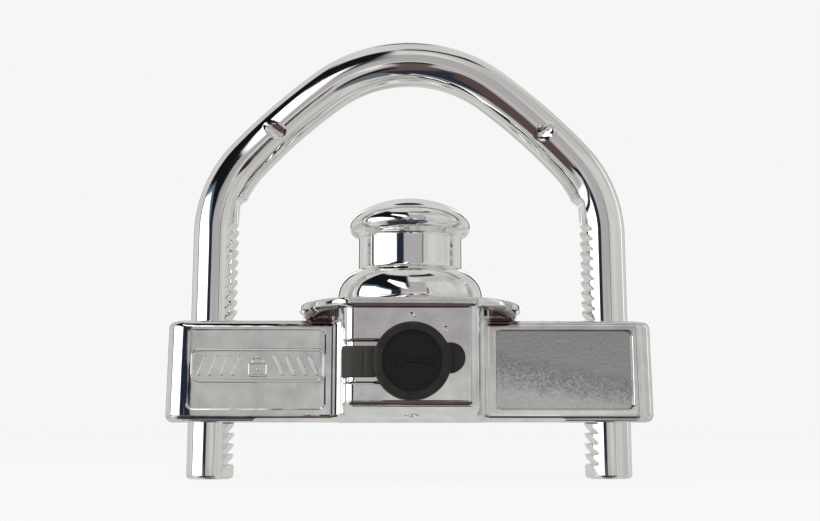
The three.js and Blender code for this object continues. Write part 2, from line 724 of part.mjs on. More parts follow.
// One tumbler plate. The window that the key passes through differs in height.
function wafer(index) {
  const half = WAFER_THICKNESS / 2;
  const width = WAFER_HALF_WIDTH;
  const rise = ((index * 2) % 3) * WAFER_STEP;
  const outer = block(-width, width, -half, half, -SWIPE, SWIPE);
  const plate = common(rod(WAFER_RADIUS, "y", [0, 0], -half, half), outer);
  const side = WAFER_WINDOW_HALF_WIDTH;
  const top = KEYWAY_HIGH - 2 * WAFER_STEP + rise;
  const window = block(-side, side, -OVERRUN, OVERRUN, KEYWAY_LOW + rise, top);
  const name = `wafer_${index + 1}`;
  return piece(name, shaped([plate], [window]), metal(...BRASS), [0, waferY(index), 0]);
}

function camPinPlace(side) {
  const angle = KEY_TURN / 2;
  return [side * CAM_PIN_ORBIT * Math.sin(angle), -side * CAM_PIN_ORBIT * Math.cos(angle)];
}

function camDisc() {
  const half = TAIL_HALF_WIDTH + GAP;
  const disc = rod(CAM_RADIUS, "y", [0, 0], CAM_FRONT, CAM_BACK, ROUND_SIDES);
  const front = CAM_FRONT - OVERRUN;
  const back = CAM_BACK + OVERRUN;
  const cuts = [block(-half, half, front, back, -half, half)];
  for (const side of [-1, 1]) {
    const hole = CAM_PIN_RADIUS + GAP;
    cuts.push(rod(hole, "y", camPinPlace(side), front, back, SMALL_SIDES));
  }
  return piece("cam_disc", shaped([disc], cuts), metal(...STEEL));
}

function camPin(name, side) {
  const [x, z] = camPinPlace(side);
  const front = CAM_FRONT + GAP;
  const pin = rod(CAM_PIN_RADIUS, "y", [0, 0], front, CAM_PIN_END, SMALL_SIDES);
  return piece(name, pin, metal(...STEEL), [x, 0, z]);
}

function camScrew() {
  const screw = turned([
    [0, CAM_SCREW_START],
    [CAM_SCREW_RADIUS, CAM_SCREW_START],
    [CAM_SCREW_RADIUS, TAIL_END + GAP],
    [CAM_SCREW_HEAD_RADIUS, TAIL_END + GAP],
    [CAM_SCREW_HEAD_RADIUS, CAM_SCREW_END],
    [0, CAM_SCREW_END],
  ], "y", SMALL_SIDES);
  return piece("cam_screw", screw, metal(...STEEL));
}

function lockAssembly() {
  const lock = new THREE.Group();
  lock.position.set(0, HOUSING_FRONT, LOCK_Z);
  const turning = new THREE.Group();
  turning.rotation.y = KEY_TURN;
  turning.add(lockPlug(), camDisc(), camScrew());
  turning.add(camPin("cam_pin_upper", -1), camPin("cam_pin_lower", 1));
  for (let i = 0; i < WAFER_COUNT; i += 1) {
    turning.add(wafer(i));
  }
  lock.add(lockCylinder(), turning);
  return lock;
}

function setScrew() {
  const top = LOCK_Z - CYLINDER_RADIUS - GAP;
  const grub = rod(SET_SCREW_RADIUS, "z", [0, 0], SET_SCREW_BOTTOM, top, SMALL_SIDES);
  const reach = SET_SCREW_RADIUS + OVERRUN;
  const half = SET_SCREW_SLOT_HALF_WIDTH;
  const slotEnd = SET_SCREW_BOTTOM + SET_SCREW_SLOT_DEPTH;
  const slot = block(-reach, reach, -half, half, -SWIPE, slotEnd);
  return piece("cylinder_set_screw", shaped([grub], [slot]), metal(...STEEL), [0, SET_SCREW_Y, 0]);
}

// ---------------------------------------------------------------- pawls and springs

// A toothed nose that meshes with the leg once it has moved out, drawn in XZ.
function pawlNose(side) {
  const tip = LEG_X - BAR_RADIUS + PAWL_BITE - PAWL_TRAVEL;
  const root = tip - PAWL_TOOTH_DEPTH;
  const slope = (TOOTH_PITCH - TOOTH_LAND) / TOOTH_DEPTH;
  const back = side * (PAWL_BODY_OUTER_X - OVERRUN);
  const rise = Math.min((tip - root) * slope, TOOTH_PITCH - PAWL_TOOTH_LAND);
  const outline = [[back, PAWL_BOTTOM], [side * root, PAWL_BOTTOM]];
  for (let i = 0; i < PAWL_TEETH; i += 1) {
    const floor = TEETH_BOTTOM + (PAWL_FIRST_TOOTH + i) * TOOTH_PITCH + GAP;
    outline.push([side * root, floor]);
    outline.push([side * tip, floor]);
    outline.push([side * root, floor + rise]);
  }
  outline.push([side * root, PAWL_TOP]);
  outline.push([back, PAWL_TOP]);
  return prism(polygon(outline), "y", -PAWL_HALF_DEPTH, PAWL_HALF_DEPTH);
}

function pawl(name, side) {
  const arm = PAWL_ARM_HEIGHT / 2;
  const z = armZ(side);
  const end = -side * PAWL_ARM_END;
  const inner = side * PAWL_BODY_INNER_X;
  const outer = side * PAWL_BODY_OUTER_X;
  const front = -PAWL_HALF_DEPTH;
  const body = block(inner, outer, front, PAWL_BODY_BACK, PAWL_BOTTOM, PAWL_TOP);
  const bar = block(end, inner + side, PAWL_ARM_FRONT, PAWL_ARM_BACK, z - arm, z + arm);
  const pinX = -side * CAM_PIN_ORBIT * Math.sin(KEY_TURN / 2);
  const half = CAM_PIN_RADIUS + GAP;
  const slotHeight = CAM_PIN_RADIUS + PAWL_SLOT_PLAY;
  const slotEnd = pinX + side * (half + PAWL_TRAVEL);
  const slot = block(
    pinX - side * half, slotEnd, PAWL_ARM_FRONT - OVERRUN, PAWL_ARM_BACK + OVERRUN,
    z - slotHeight, z + slotHeight,
  );
  return piece(name, shaped([pawlNose(side), body, bar], [slot]), metal(...STEEL));
}

class Helix extends THREE.Curve {
  constructor(radius, length, turns) {
    super();
    Object.assign(this, { radius, length, turns });
  }

  getPoint(t, target = new THREE.Vector3()) {
    const angle = 2 * Math.PI * this.turns * t;
    const { radius } = this;
    return target.set(this.length * t, radius * Math.cos(angle), radius * Math.sin(angle));
  }
}

function pawlSpring(name, side) {
  const start = SPRING_SEAT_X + GAP + SPRING_WIRE;
  const end = PAWL_BODY_INNER_X - GAP - SPRING_WIRE;
  const wire = new THREE.Shape();
  wire.absarc(0, 0, SPRING_WIRE, 0, 2 * Math.PI);
  const coil = new THREE.ExtrudeGeometry(wire, {
    steps: SPRING_TURNS * 8,
    curveSegments: 3,
    extrudePath: new Helix(SPRING_RADIUS, end - start, SPRING_TURNS),
  });
  const free = PAWL_TOP + PAWL_BOTTOM - armZ(side);
  const spring = piece(name, coil, metal(...STEEL), [side * start, 0, free]);
  spring.rotation.z = side > 0 ? 0 : Math.PI;
  return spring;
}

// ---------------------------------------------------------------- dust cap

function dustCap() {
  const cup = turned([
    [0, -DUST_CAP_DEPTH + DUST_CAP_DISH_DEPTH],
    [DUST_CAP_DISH, -DUST_CAP_DEPTH + DUST_CAP_DISH_DEPTH],
    [DUST_CAP_DISH + DUST_CAP_DISH_SLOPE, -DUST_CAP_DEPTH],
    [DUST_CAP_RADIUS - DUST_CAP_EDGE, -DUST_CAP_DEPTH],
    [DUST_CAP_RADIUS, -DUST_CAP_DEPTH + DUST_CAP_EDGE],
    [DUST_CAP_RADIUS, -GAP],
    [DUST_CAP_BORE, -GAP],
    [DUST_CAP_BORE, -DUST_CAP_CEILING],
    [0, -DUST_CAP_CEILING],
  ], "y", 28);
  const tab = new THREE.Shape();
  tab.moveTo(TAB_ROOT_X, -TAB_RADIUS);
  tab.absarc(TAB_END - TAB_RADIUS, 0, TAB_RADIUS, -Math.PI / 2, Math.PI / 2);
  tab.lineTo(TAB_ROOT_X, TAB_RADIUS);
  tab.closePath();
  const width = STRAP_HALF_WIDTH;
  const back = STRAP_THICKNESS - STRAP_PROUD;
  const fold = STRAP_FOLD_X + GAP;
  const hinge = block(fold, -TAB_ROOT_X, -STRAP_PROUD, back, -width, width);
  const rootEnd = -DUST_CAP_RADIUS - DUST_CAP_EDGE;
  const root = block(rootEnd, -TAB_ROOT_X, TAB_BACK, back, -width, width);
  const solid = shaped([cup, prism(tab, "y", TAB_FRONT, TAB_BACK), hinge, root]);
  return piece("dust_cap", solid, rubber(), [0, HOUSING_FRONT, LOCK_Z]);
}

// The strap beyond the fold: round the housing's corner to a stud pressed into its side.
function capStrap() {
  const cornerX = -HOUSING_HALF_WIDTH + HOUSING_CORNER;
  const cornerY = HOUSING_FRONT + HOUSING_CORNER;
  const outer = HOUSING_CORNER + STRAP_PROUD;
  const inner = outer - STRAP_THICKNESS;
  const fold = STRAP_FOLD_X - GAP;
  const plan = new THREE.Shape();
  plan.moveTo(fold, cornerY - inner);
  plan.absarc(cornerX, cornerY, inner, 1.5 * Math.PI, Math.PI, true);
  plan.lineTo(cornerX - inner, STRAP_END_Y);
  plan.lineTo(cornerX - outer, STRAP_END_Y);
  plan.absarc(cornerX, cornerY, outer, Math.PI, 1.5 * Math.PI);
  plan.lineTo(fold, cornerY - outer);
  plan.closePath();
  const low = LOCK_Z - STRAP_HALF_WIDTH;
  const high = LOCK_Z + STRAP_HALF_WIDTH;
  const strap = prism(plan, "z", low, high);
  const head = cornerX - inner - STRAP_THICKNESS / 2;
  const stud = rod(STUD_RADIUS, "x", [STUD_Y, LOCK_Z], head, STUD_END_X, SMALL_SIDES);
  return piece("cap_strap", shaped([strap, stud]), rubber());
}

// ---------------------------------------------------------------- assembly

const crossbar = new THREE.Group();
crossbar.add(crossbarCasting(), ballPost(), rearCover(), setScrew(), capStrap());
crossbar.add(postPin("post_pin_left", -POST_PIN_X), postPin("post_pin_right", POST_PIN_X));
COVER_SCREW_X.forEach((x, column) => {
  COVER_SCREW_Z.forEach((z, row) => {
    crossbar.add(coverScrew(`cover_screw_${2 * column + row + 1}`, x, z));
  });
});
crossbar.add(pawlSpring("left_pawl_spring", -1), pawlSpring("right_pawl_spring", 1));

const group = new THREE.Group();
group.add(shackle(), crossbar, lockAssembly(), dustCap());
group.add(pawl("left_pawl", -1), pawl("right_pawl", 1));

export default group;
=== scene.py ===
"""Looks of a trailer coupler lock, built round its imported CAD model.

Lengths are in millimetres until a mesh is made, and in metres from there on.
+X is right, +Y away from the keyhole side and +Z up, as in the CAD model.
"""

import itertools
import math

import bpy
import numpy as np
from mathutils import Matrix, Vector


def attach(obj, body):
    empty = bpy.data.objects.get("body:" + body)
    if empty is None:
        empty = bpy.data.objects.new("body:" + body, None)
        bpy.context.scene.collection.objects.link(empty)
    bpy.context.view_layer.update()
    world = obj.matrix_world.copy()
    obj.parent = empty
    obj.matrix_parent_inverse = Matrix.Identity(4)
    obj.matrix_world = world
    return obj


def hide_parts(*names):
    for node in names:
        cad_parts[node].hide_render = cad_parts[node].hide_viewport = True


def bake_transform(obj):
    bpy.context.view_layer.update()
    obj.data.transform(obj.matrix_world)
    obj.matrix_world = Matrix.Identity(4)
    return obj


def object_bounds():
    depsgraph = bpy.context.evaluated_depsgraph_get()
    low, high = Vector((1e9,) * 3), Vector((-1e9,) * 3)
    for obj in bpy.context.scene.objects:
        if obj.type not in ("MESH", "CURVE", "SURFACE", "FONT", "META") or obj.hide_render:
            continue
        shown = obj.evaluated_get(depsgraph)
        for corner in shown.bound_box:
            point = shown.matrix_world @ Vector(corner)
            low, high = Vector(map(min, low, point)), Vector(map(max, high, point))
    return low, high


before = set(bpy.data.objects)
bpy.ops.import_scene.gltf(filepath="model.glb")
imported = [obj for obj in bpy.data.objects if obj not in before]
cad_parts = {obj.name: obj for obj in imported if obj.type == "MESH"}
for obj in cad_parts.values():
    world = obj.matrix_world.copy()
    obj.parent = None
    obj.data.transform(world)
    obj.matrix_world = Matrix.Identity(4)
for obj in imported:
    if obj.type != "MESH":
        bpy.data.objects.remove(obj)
CAD_LOW, CAD_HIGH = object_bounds()

MM = 0.001
PLATING = 0.9  # share of the light that the plating gives back
CHROME_TINT = [PLATING, PLATING, PLATING * 0.99, 1]
BACKDROP = 246  # display value of the plain background

# ------------------------------------------------------------------ sizes, in mm

GAP = 0.3

BAR_RADIUS = 7.95
LEG_X = 68
LEG_BOTTOM = -58
BEND_START = 26
BEND_RADIUS = 40
BEND_END = math.radians(42)
SHOULDER_RADIUS = 200
CROWN_START = math.radians(53)

TOOTH_PITCH = 3.5
TOOTH_DEPTH = 3.1
TOOTH_COUNT = 24
TEETH_BOTTOM = -53.2
FLAT_TOP = 38
FLAT_DEPTH = 0.5
PINCH_X = 47.3
PINCH_Z = 61.8
PINCH_RADIUS = 1.15
PINCH_STRETCH = 2.1
PINCH_TURN = math.radians(35)

ARM_HALF_LENGTH = 82.6
ARM_DRAFT = 0.4
ARM_HALF_DEPTH = 13
ARM_TOP = -5.2
ARM_BOTTOM = -39.2
ARM_END_RADIUS = 7
ARM_EDGE = 2.5
LEG_HOLE_RADIUS = 8.35
HOUSING_FRONT = -31
HOUSING_HALF_WIDTH = 22.3
HOUSING_CORNER = 4
HOUSING_COVE = 3.7
HOUSING_CHIN = -34.5
HOUSING_CHIN_END = -11
FLANGE_RADIUS = 38.5
FLANGE_TOP = 0.8
FLANGE_BOTTOM = -2.2
FLANGE_FRONT = -31.6
FLANGE_ROOT_FRONT = -5.6
FLANGE_ROOT_BACK = -4.65
FLANGE_ROOT_RADIUS = 37.6
FLANGE_ROOT_TAPER = 0.35
SEAT_RADIUS = 26

PANEL_INNER_X = 28.7
PANEL_OUTER_X = 74.6
PANEL_TOP = -8.5
PANEL_BOTTOM = -34.8
LEFT_PANEL_DEPTH = 0.03
RIGHT_PANEL_DEPTH = 1.0

POCKET_BOTTOM = -29.3
POCKET_TOP = -12.7
POCKET_HALF_LENGTH = 52.4
POCKET_FRONT = -5.3
CAM_RECESS_RADIUS = 7.4
CAM_RECESS_FRONT = -10
CYLINDER_BORE_END = -9
POST_PIN_X = 6
POST_PIN_Z = -3.8
POST_PIN_HOLE = 1.8
POST_PIN_FRONT = -9.3
SET_SCREW_Y = -20
SET_SCREW_HOLE = 2.3
SET_SCREW_TOP = -28
CAST_MARKS = ((0, -5.1), (10.6, -9.2))
CAST_MARK_RADIUS = 0.65

EMBLEM_X = -51
EMBLEM_Z = -20.4
EMBLEM_HALF_LENGTH = 22
EMBLEM_HALF_HEIGHT = 5.2
EMBLEM_RIBS = 4
EMBLEM_RIB_PITCH = 3.8
EMBLEM_RIB_START = 7
EMBLEM_HEIGHT = 0.4

LOCK_Z = -20
CYLINDER_RADIUS = 8.7
CYLINDER_HEAD_RADIUS = 10.3
PLUG_RADIUS = 5.6
PLUG_HEAD_RADIUS = 6.8
PLUG_END = 22
CAP_RADIUS = 12.4
CAP_FRONT = -37
CAP_BACK = -31.3
CAP_DISH_RADIUS = 9.6
CAP_DISH_FLOOR = -36.1
CAP_BORE_RADIUS = 10.6
CAP_BORE_FLOOR = -34

COVER_HALF_LENGTH = 57.5
COVER_TOP = -7.6
COVER_BOTTOM = -34.6
COVER_THICKNESS = 4.7
COVER_SCREW_X = (-50, 0, 50)
COVER_SCREW_Z = (-10.4, -31.8)
SCREW_HEAD_RADIUS = 2.1
SCREW_HEAD_DEPTH = 1.3
SCREW_RADIUS = 1.25

FOLD_X = -15.3
STRAP_END_Y = -19.6
STRAP_HALF_WIDTH = 5
STRAP_THICKNESS = 1.4
STRAP_START_X = -11.3
FOLD_THINNING = 0.3
FOLD_LENGTH = 0.45
STRAP_PROUD = 0.4
CHANNEL_HALF_WIDTH = 6.6

# ------------------------------------------------------------------ distance functions


def box2(x, y, half_x, half_y, radius):
    """Distance to a rounded rectangle."""
    qx = np.abs(x) - half_x + radius
    qy = np.abs(y) - half_y + radius
    outside = np.hypot(np.maximum(qx, 0), np.maximum(qy, 0))
    return outside + np.minimum(np.maximum(qx, qy), 0) - radius


def trim(a, b, radius=0.0):
    """What lies in both shapes, with the edge between them rounded."""
    if not radius:
        return np.maximum(a, b)
    edge = np.hypot(np.maximum(a + radius, 0), np.maximum(b + radius, 0))
    return np.minimum(-radius, np.maximum(a, b)) + edge


def join(a, b, radius=0.0):
    """What lies in either shape, with a hollow fillet between them."""
    return -trim(-a, -b, radius)


def cut(a, b, radius=0.0):
    """The first shape without the second, with the edge rounded."""
    return trim(a, -b, radius)


def slab(value, low, high):
    """Distance to the space between two values."""
    return np.abs(value - (low + high) / 2) - (high - low) / 2


def gradient(distance, points, reach=0.02):
    """Unit normals of a distance function."""
    normal = np.empty_like(points)
    for axis in range(3):
        offset = np.zeros(3)
        offset[axis] = reach
        normal[:, axis] = distance(points + offset) - distance(points - offset)
    length = np.linalg.norm(normal, axis=1, keepdims=True)
    return normal / np.maximum(length, 1e-9)


# ------------------------------------------------------------------ meshing


def graded(low, high, coarse, fine, bands=()):
    """Stations from low to high, close together inside the bands."""
    stations = [low]
    while stations[-1] < high:
        here = stations[-1]
        inside = any(a - coarse < here < b for a, b in bands)
        stations.append(here + (fine if inside else coarse))
    return np.array(stations)


def sampled(distance, axes, block=4):
    """Values of a distance function on a grid, exact only near its surface."""
    shape = [len(a) for a in axes]
    lows = [a[:-1:block] for a in axes]
    highs = [a[np.minimum(np.arange(len(low)) * block + block, len(a) - 1)]
             for a, low in zip(axes, lows)]
    centres = [(low + high) / 2 for low, high in zip(lows, highs)]
    halves = np.meshgrid(*[(h - l) / 2 for l, h in zip(lows, highs)], indexing="ij")
    reach = np.sqrt(sum(h * h for h in halves))
    grid = np.stack(np.meshgrid(*centres, indexing="ij"), -1)
    value = distance(grid.reshape(-1, 3)).reshape(reach.shape)
    close = np.abs(value) <= 1.3 * reach + 0.3
    own = [np.minimum(np.arange(n) // block, len(c) - 1) for n, c in zip(shape, centres)]
    before = [np.maximum(np.arange(n) - 1, 0) // block for n in shape]
    values = np.where(value > 0, 1e3, -1e3)[np.ix_(*own)]
    near = np.zeros(shape, bool)
    for choice in itertools.product((0, 1), repeat=3):
        near |= close[np.ix_(*[(own, before)[c][k] for k, c in enumerate(choice)])]
    where = np.nonzero(near)
    points = np.stack([a[w] for a, w in zip(axes, where)], 1)
    values[where] = distance(points)
    return values


CORNERS = np.array(list(itertools.product((0, 1), repeat=3)))
CELL_EDGES = [(a, b) for a in range(8) for b in range(a + 1, 8)
              if np.abs(CORNERS[a] - CORNERS[b]).sum() == 1]


def surface(distance, axes):
    """Points, quads and normals of the zero surface of a distance function."""
    values = sampled(distance, axes)
    inside = values < 0
    cells = tuple(n - 1 for n in values.shape)
    count = np.zeros(cells, np.int8)
    for i, j, k in CORNERS:
        count += inside[i:i + cells[0], j:j + cells[1], k:k + cells[2]]
    active = np.nonzero((count > 0) & (count < 8))
    number = np.full(cells, -1, np.int64)
    number[active] = np.arange(len(active[0]))
    corner_value = np.stack([values[active[0] + i, active[1] + j, active[2] + k]
                             for i, j, k in CORNERS], 1)
    corner_place = np.stack([np.stack([axes[m][active[m] + c[m]] for m in range(3)], 1)
                             for c in CORNERS], 1)
    total = np.zeros((len(active[0]), 3))
    crossings = np.zeros(len(active[0]))
    for a, b in CELL_EDGES:
        va, vb = corner_value[:, a], corner_value[:, b]
        crossed = (va < 0) != (vb < 0)
        share = np.where(crossed, va / np.where(crossed, va - vb, 1), 0)[:, None]
        place = corner_place[:, a] * (1 - share) + corner_place[:, b] * share
        total += place * crossed[:, None]
        crossings += crossed
    start = total / crossings[:, None]
    points = start
    for _ in range(3):
        step = np.clip(distance(points), -0.4, 0.4)
        points = points - gradient(distance, points) * step[:, None]
    strayed = np.abs(distance(points)) > 0.1
    strayed |= np.linalg.norm(points - start, axis=1) > 0.8
    points = np.where(strayed[:, None], start, points)
    quads = []
    for axis in range(3):
        u, v = (axis + 1) % 3, (axis + 2) % 3
        near = [slice(1, -1)] * 3
        far = [slice(1, -1)] * 3
        near[axis], far[axis] = slice(0, -1), slice(1, None)
        here, there = inside[tuple(near)], inside[tuple(far)]
        for flip, mask in ((False, here & ~there), (True, ~here & there)):
            index = np.stack(np.nonzero(mask), 1)
            index[:, u] += 1
            index[:, v] += 1
            ring = []
            for du, dv in ((0, 0), (-1, 0), (-1, -1), (0, -1)):
                cell = index.copy()
                cell[:, u] += du
                cell[:, v] += dv
                ring.append(number[cell[:, 0], cell[:, 1], cell[:, 2]])
            quad = np.stack(ring, 1)
            quads.append(quad[:, ::-1] if flip else quad)
    return points, np.concatenate(quads), gradient(distance, points)


def mesh_piece(name, points, faces, normals=None):
    """A smooth mesh object from points in mm."""
    mesh = bpy.data.meshes.new(name)
    mesh.from_pydata((np.asarray(points) * MM).tolist(), [], np.asarray(faces).tolist()
                     if not isinstance(faces, list) else faces)
    mesh.validate()
    mesh.shade_smooth()
    if normals is not None:
        mesh.normals_split_custom_set_from_vertices(np.asarray(normals).tolist())
    obj = bpy.data.objects.new(name, mesh)
    bpy.context.scene.collection.objects.link(obj)
    return obj


def solid_piece(name, distance, axes):
    return mesh_piece(name, *surface(distance, axes))


def finish_piece(obj, body, slot, material, *nodes):
    """Gives a piece its material, hides the CAD nodes it stands for and attaches it to its body.
    The slot is not used.
    """
    obj.data.materials.append(material)
    if nodes:
        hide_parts(*nodes)
    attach(obj, body)
    return obj


# ------------------------------------------------------------------ node helpers


class Graph:
    """Short ways to add nodes to a tree."""

    def __init__(self, tree):
        self.tree = tree
        tree.nodes.clear()

    def node(self, kind, inputs=None, **settings):
        made = self.tree.nodes.new(kind)
        for key, value in settings.items():
            setattr(made, key, value)
        for key, value in (inputs or {}).items():
            self.feed(made.inputs[key], value)
        return made

    def feed(self, socket, value):
        if isinstance(value, bpy.types.NodeSocket):
            self.tree.links.new(value, socket)
        else:
            socket.default_value = value

    def math(self, operation, *values):
        made = self.node("ShaderNodeMath", operation=operation)
        for socket, value in zip(made.inputs, values):
            self.feed(socket, value)
        return made.outputs[0]

    def step(self, value, edge, softness):
        """0 below the edge and 1 above it."""
        made = self.node("ShaderNodeMapRange", interpolation_type="SMOOTHSTEP")
        self.feed(made.inputs["Value"], value)
        self.feed(made.inputs["From Min"], edge - softness)
        self.feed(made.inputs["From Max"], edge + softness)
        return made.outputs[0]

    def below(self, value, edge, softness):
        """1 below the edge and 0 above it."""
        return self.step(self.math("MULTIPLY", value, -1), -edge, softness)

    def band(self, value, low, high, softness):
        """1 between two values and 0 outside them."""
        above = self.step(value, low, softness)
        return self.math("SUBTRACT", above, self.step(value, high, softness))

    def both(self, *masks):
        result = masks[0]
        for mask in masks[1:]:
            result = self.math("MULTIPLY", result, mask)
        return result

    def layer(self, under, over, mask):
        """Paints one colour over another where the mask is 1."""
        made = self.node("ShaderNodeMix", data_type="RGBA")
        self.feed(made.inputs[0], mask)
        self.feed(made.inputs[6], under)
        self.feed(made.inputs[7], over)
        return made.outputs[2]


def linear(*srgb):
    """A colour given as display values from 0 to 255."""
    shares = [value / 255 for value in (srgb * 3 if len(srgb) == 1 else srgb)]
    return [s / 12.92 if s < 0.04045 else ((s + 0.055) / 1.055) ** 2.4 for s in shares] + [1]


def bright(strength):
    return [strength, strength, strength, 1]


# ------------------------------------------------------------------ surroundings


def seen(*srgb):
    """The light that the plating shows as that display colour."""
    return [value / PLATING for value in linear(*srgb)[:3]] + [1]


def patch(g, azimuth, height, centre, radii, turn=0.0, softness=0.15):
    """A soft oval in the surroundings, in degrees, turned anticlockwise."""
    across = g.math("SUBTRACT", azimuth, centre[0])
    up = g.math("SUBTRACT", height, centre[1])
    c, s = math.cos(math.radians(turn)), math.sin(math.radians(turn))
    u = g.math("ADD", g.math("MULTIPLY", across, c / radii[0]),
               g.math("MULTIPLY", up, s / radii[0]))
    v = g.math("SUBTRACT", g.math("MULTIPLY", up, c / radii[1]),
               g.math("MULTIPLY", across, s / radii[1]))
    away = g.math("SQRT", g.math("ADD", g.math("MULTIPLY", u, u), g.math("MULTIPLY", v, v)))
    return g.math("SUBTRACT", 1.0, g.step(away, 1.0, softness))


def tilted(g, azimuth, height, slope):
    """Height above a line that falls to the right by the slope."""
    return g.math("ADD", height, g.math("MULTIPLY", azimuth, slope))


def pale_walls(g, azimuth, height, walls):
    """The walls, a mauve column in front and pale and dark strips at the back."""
    behind = g.math("ABSOLUTE", azimuth)
    colour = g.layer(walls, seen(208, 208, 205), g.both(g.step(behind, 100, 12), 0.5))
    colour = g.layer(colour, seen(40, 42, 46), patch(g, behind, height, (180, 54), (12, 7)))
    for light, line, low, high, softness in (
            (seen(62, 64, 70), (behind, 147, 155, 2), 0, 34, 4),
            (bright(1.4), (behind, 157, 167, 2), 2, 30, 4),
            (seen(168, 164, 166), (azimuth, -16, 25, 2), 5.5, 38, 3),
            (seen(170, 166, 168), (azimuth, -2.5, 14, 1), 2.6, 34, 1),
            (seen(95, 94, 96), (azimuth, 25, 28, 1), -2, 20, 6),
            (bright(1.3), (azimuth, 103, 109, 1.5), 0, 40, 5)):
        colour = g.layer(colour, light, g.both(g.band(*line), g.band(height, low, high, softness)))
    return colour


def dark_flags(g, azimuth, height, colour):
    """Black cloth at the front left and high above the front."""
    dark = seen(18, 20, 24)
    colour = g.layer(colour, dark, g.both(
        g.band(azimuth, -92, -15, 1.5), g.band(height, 2, 66, 3)))
    right_edge = g.math("ADD", azimuth, g.math("MULTIPLY", height, 0.13))
    colour = g.layer(colour, dark, g.both(
        g.below(right_edge, 1.0, 3), g.step(azimuth, -60, 3), g.band(height, 20, 66, 3)))
    return g.layer(colour, dark, g.both(
        g.band(azimuth, -4, 70, 6), g.band(height, 62, 70, 2)))


def low_softbox(g, azimuth, height, colour):
    """A large softbox with a blue fringe above it and a navy edge on its right."""
    slant = tilted(g, azimuth, g.math("MAXIMUM", height, 9), 0.53)
    colour = g.layer(colour, seen(34, 42, 56), g.both(
        g.band(azimuth, -34, -15, 1.5), g.band(height, -6, 13, 3)))
    colour = g.layer(colour, seen(98, 116, 130), g.both(
        g.below(slant, -2.5, 1.5), g.band(azimuth, -87, -30, 3), g.band(height, 8, 28, 2)))
    colour = g.layer(colour, bright(1.9), g.both(
        g.below(slant, -7.2, 0.7), g.step(azimuth, -87, 0.7), g.band(height, -4, 24, 1.5)))
    return g.layer(colour, seen(26), g.both(
        g.band(azimuth, -91, -87, 0.7), g.band(height, -14, 30, 2)))


def leaning_softbox(g, azimuth, height, colour):
    """A second softbox that leans across the front, with its grey foot."""
    colour = g.layer(colour, seen(150), patch(g, azimuth, height, (-11, 12.5), (7, 1.2), -18))
    right_edge = g.math("ADD", azimuth, g.math("MULTIPLY", height, 0.22))
    beam = g.both(g.step(tilted(g, azimuth, height, 0.73), 9.5, 1.6),
                  g.below(tilted(g, azimuth, height, 0.43), 29.5, 1.5),
                  g.step(azimuth, -43, 1.5), g.step(height, 13, 2), g.below(right_edge, -3, 4))
    return g.layer(colour, bright(1.9), beam)


def upper_surroundings(g, azimuth, height, walls):
    colour = pale_walls(g, azimuth, height, walls)
    colour = dark_flags(g, azimuth, height, colour)
    colour = low_softbox(g, azimuth, height, colour)
    return leaning_softbox(g, azimuth, height, colour)


def lower_surroundings(g, azimuth, height, walls):
    """Pale at the sides and back; the dark end of the room in front and straight below."""
    colour = g.layer(seen(26, 28, 32), walls, g.step(height, -74, 5))
    # display colour, (azimuth, height) and half sizes in degrees, turn
    for shade, centre, radii, turn in (
            ((40, 47, 60), (-14, -44), (44, 23), 8),
            ((98, 102, 113), (27, -42), (10, 20), 0),
            ((47, 51, 62), (9, -58), (9, 12), 0),
            ((98, 77, 74), (3, -33), (13, 13), 0),
            ((86, 70, 68), (-20, -19), (13, 9), 30),
            ((84, 68, 66), (-32, -30), (16, 12), 0),
            ((26, 22, 24), (17, -27), (12, 5), 28),
            ((26, 22, 24), (-18, -5), (11, 2.6), 46),
            ((88, 80, 78), (0.5, -14), (4, 8), 0),
            ((26, 22, 24), (0.5, -4), (4, 6), 0),
            ((176, 176, 172), (-6, -4), (4, 12), 0),
            ((190, 182, 184), (12, -12), (9, 7), -55),
            ((228, 228, 228), (6.5, -5), (2, 8), 12),
            ((60, 40, 38), (18, -6), (14, 3), -42)):
        colour = g.layer(colour, seen(*shade), patch(g, azimuth, height, centre, radii, turn))
    colour = g.layer(colour, bright(1.5), patch(g, azimuth, height, (-55, -9), (28, 7), 12))
    return g.layer(colour, seen(26, 22, 24), g.both(
        g.band(azimuth, -92, -14, 3), g.band(height, -7, -3, 1)))


def make_world():
    """A studio that chrome can reflect; the camera itself sees plain pale grey."""
    world = bpy.data.worlds.new("studio")
    world.use_nodes = True
    bpy.context.scene.world = world
    g = Graph(world.node_tree)
    direction = g.node("ShaderNodeTexCoord").outputs["Generated"]
    x, y, z = g.node("ShaderNodeSeparateXYZ", {0: direction}).outputs
    degrees = 180 / math.pi
    azimuth = g.math("MULTIPLY", g.math("ARCTAN2", x, g.math("MULTIPLY", y, -1)), degrees)
    height = g.math("MULTIPLY", g.math("ARCSINE", z), degrees)
    walls = g.layer(seen(166, 166, 164), seen(214, 214, 210),
                    remap(g, noise(g, direction, 0.45), 0, 1))
    colour = g.layer(lower_surroundings(g, azimuth, height, walls),
                     upper_surroundings(g, azimuth, height, walls), g.step(height, -3, 1.5))
    shown = g.node("ShaderNodeBackground", {"Color": linear(BACKDROP)})
    reflected = g.node("ShaderNodeBackground", {"Color": colour})
    path = g.node("ShaderNodeLightPath").outputs["Is Camera Ray"]
    mix = g.node("ShaderNodeMixShader", {0: path, 1: reflected.outputs[0], 2: shown.outputs[0]})
    g.node("ShaderNodeOutputWorld", {"Surface": mix.outputs[0]})


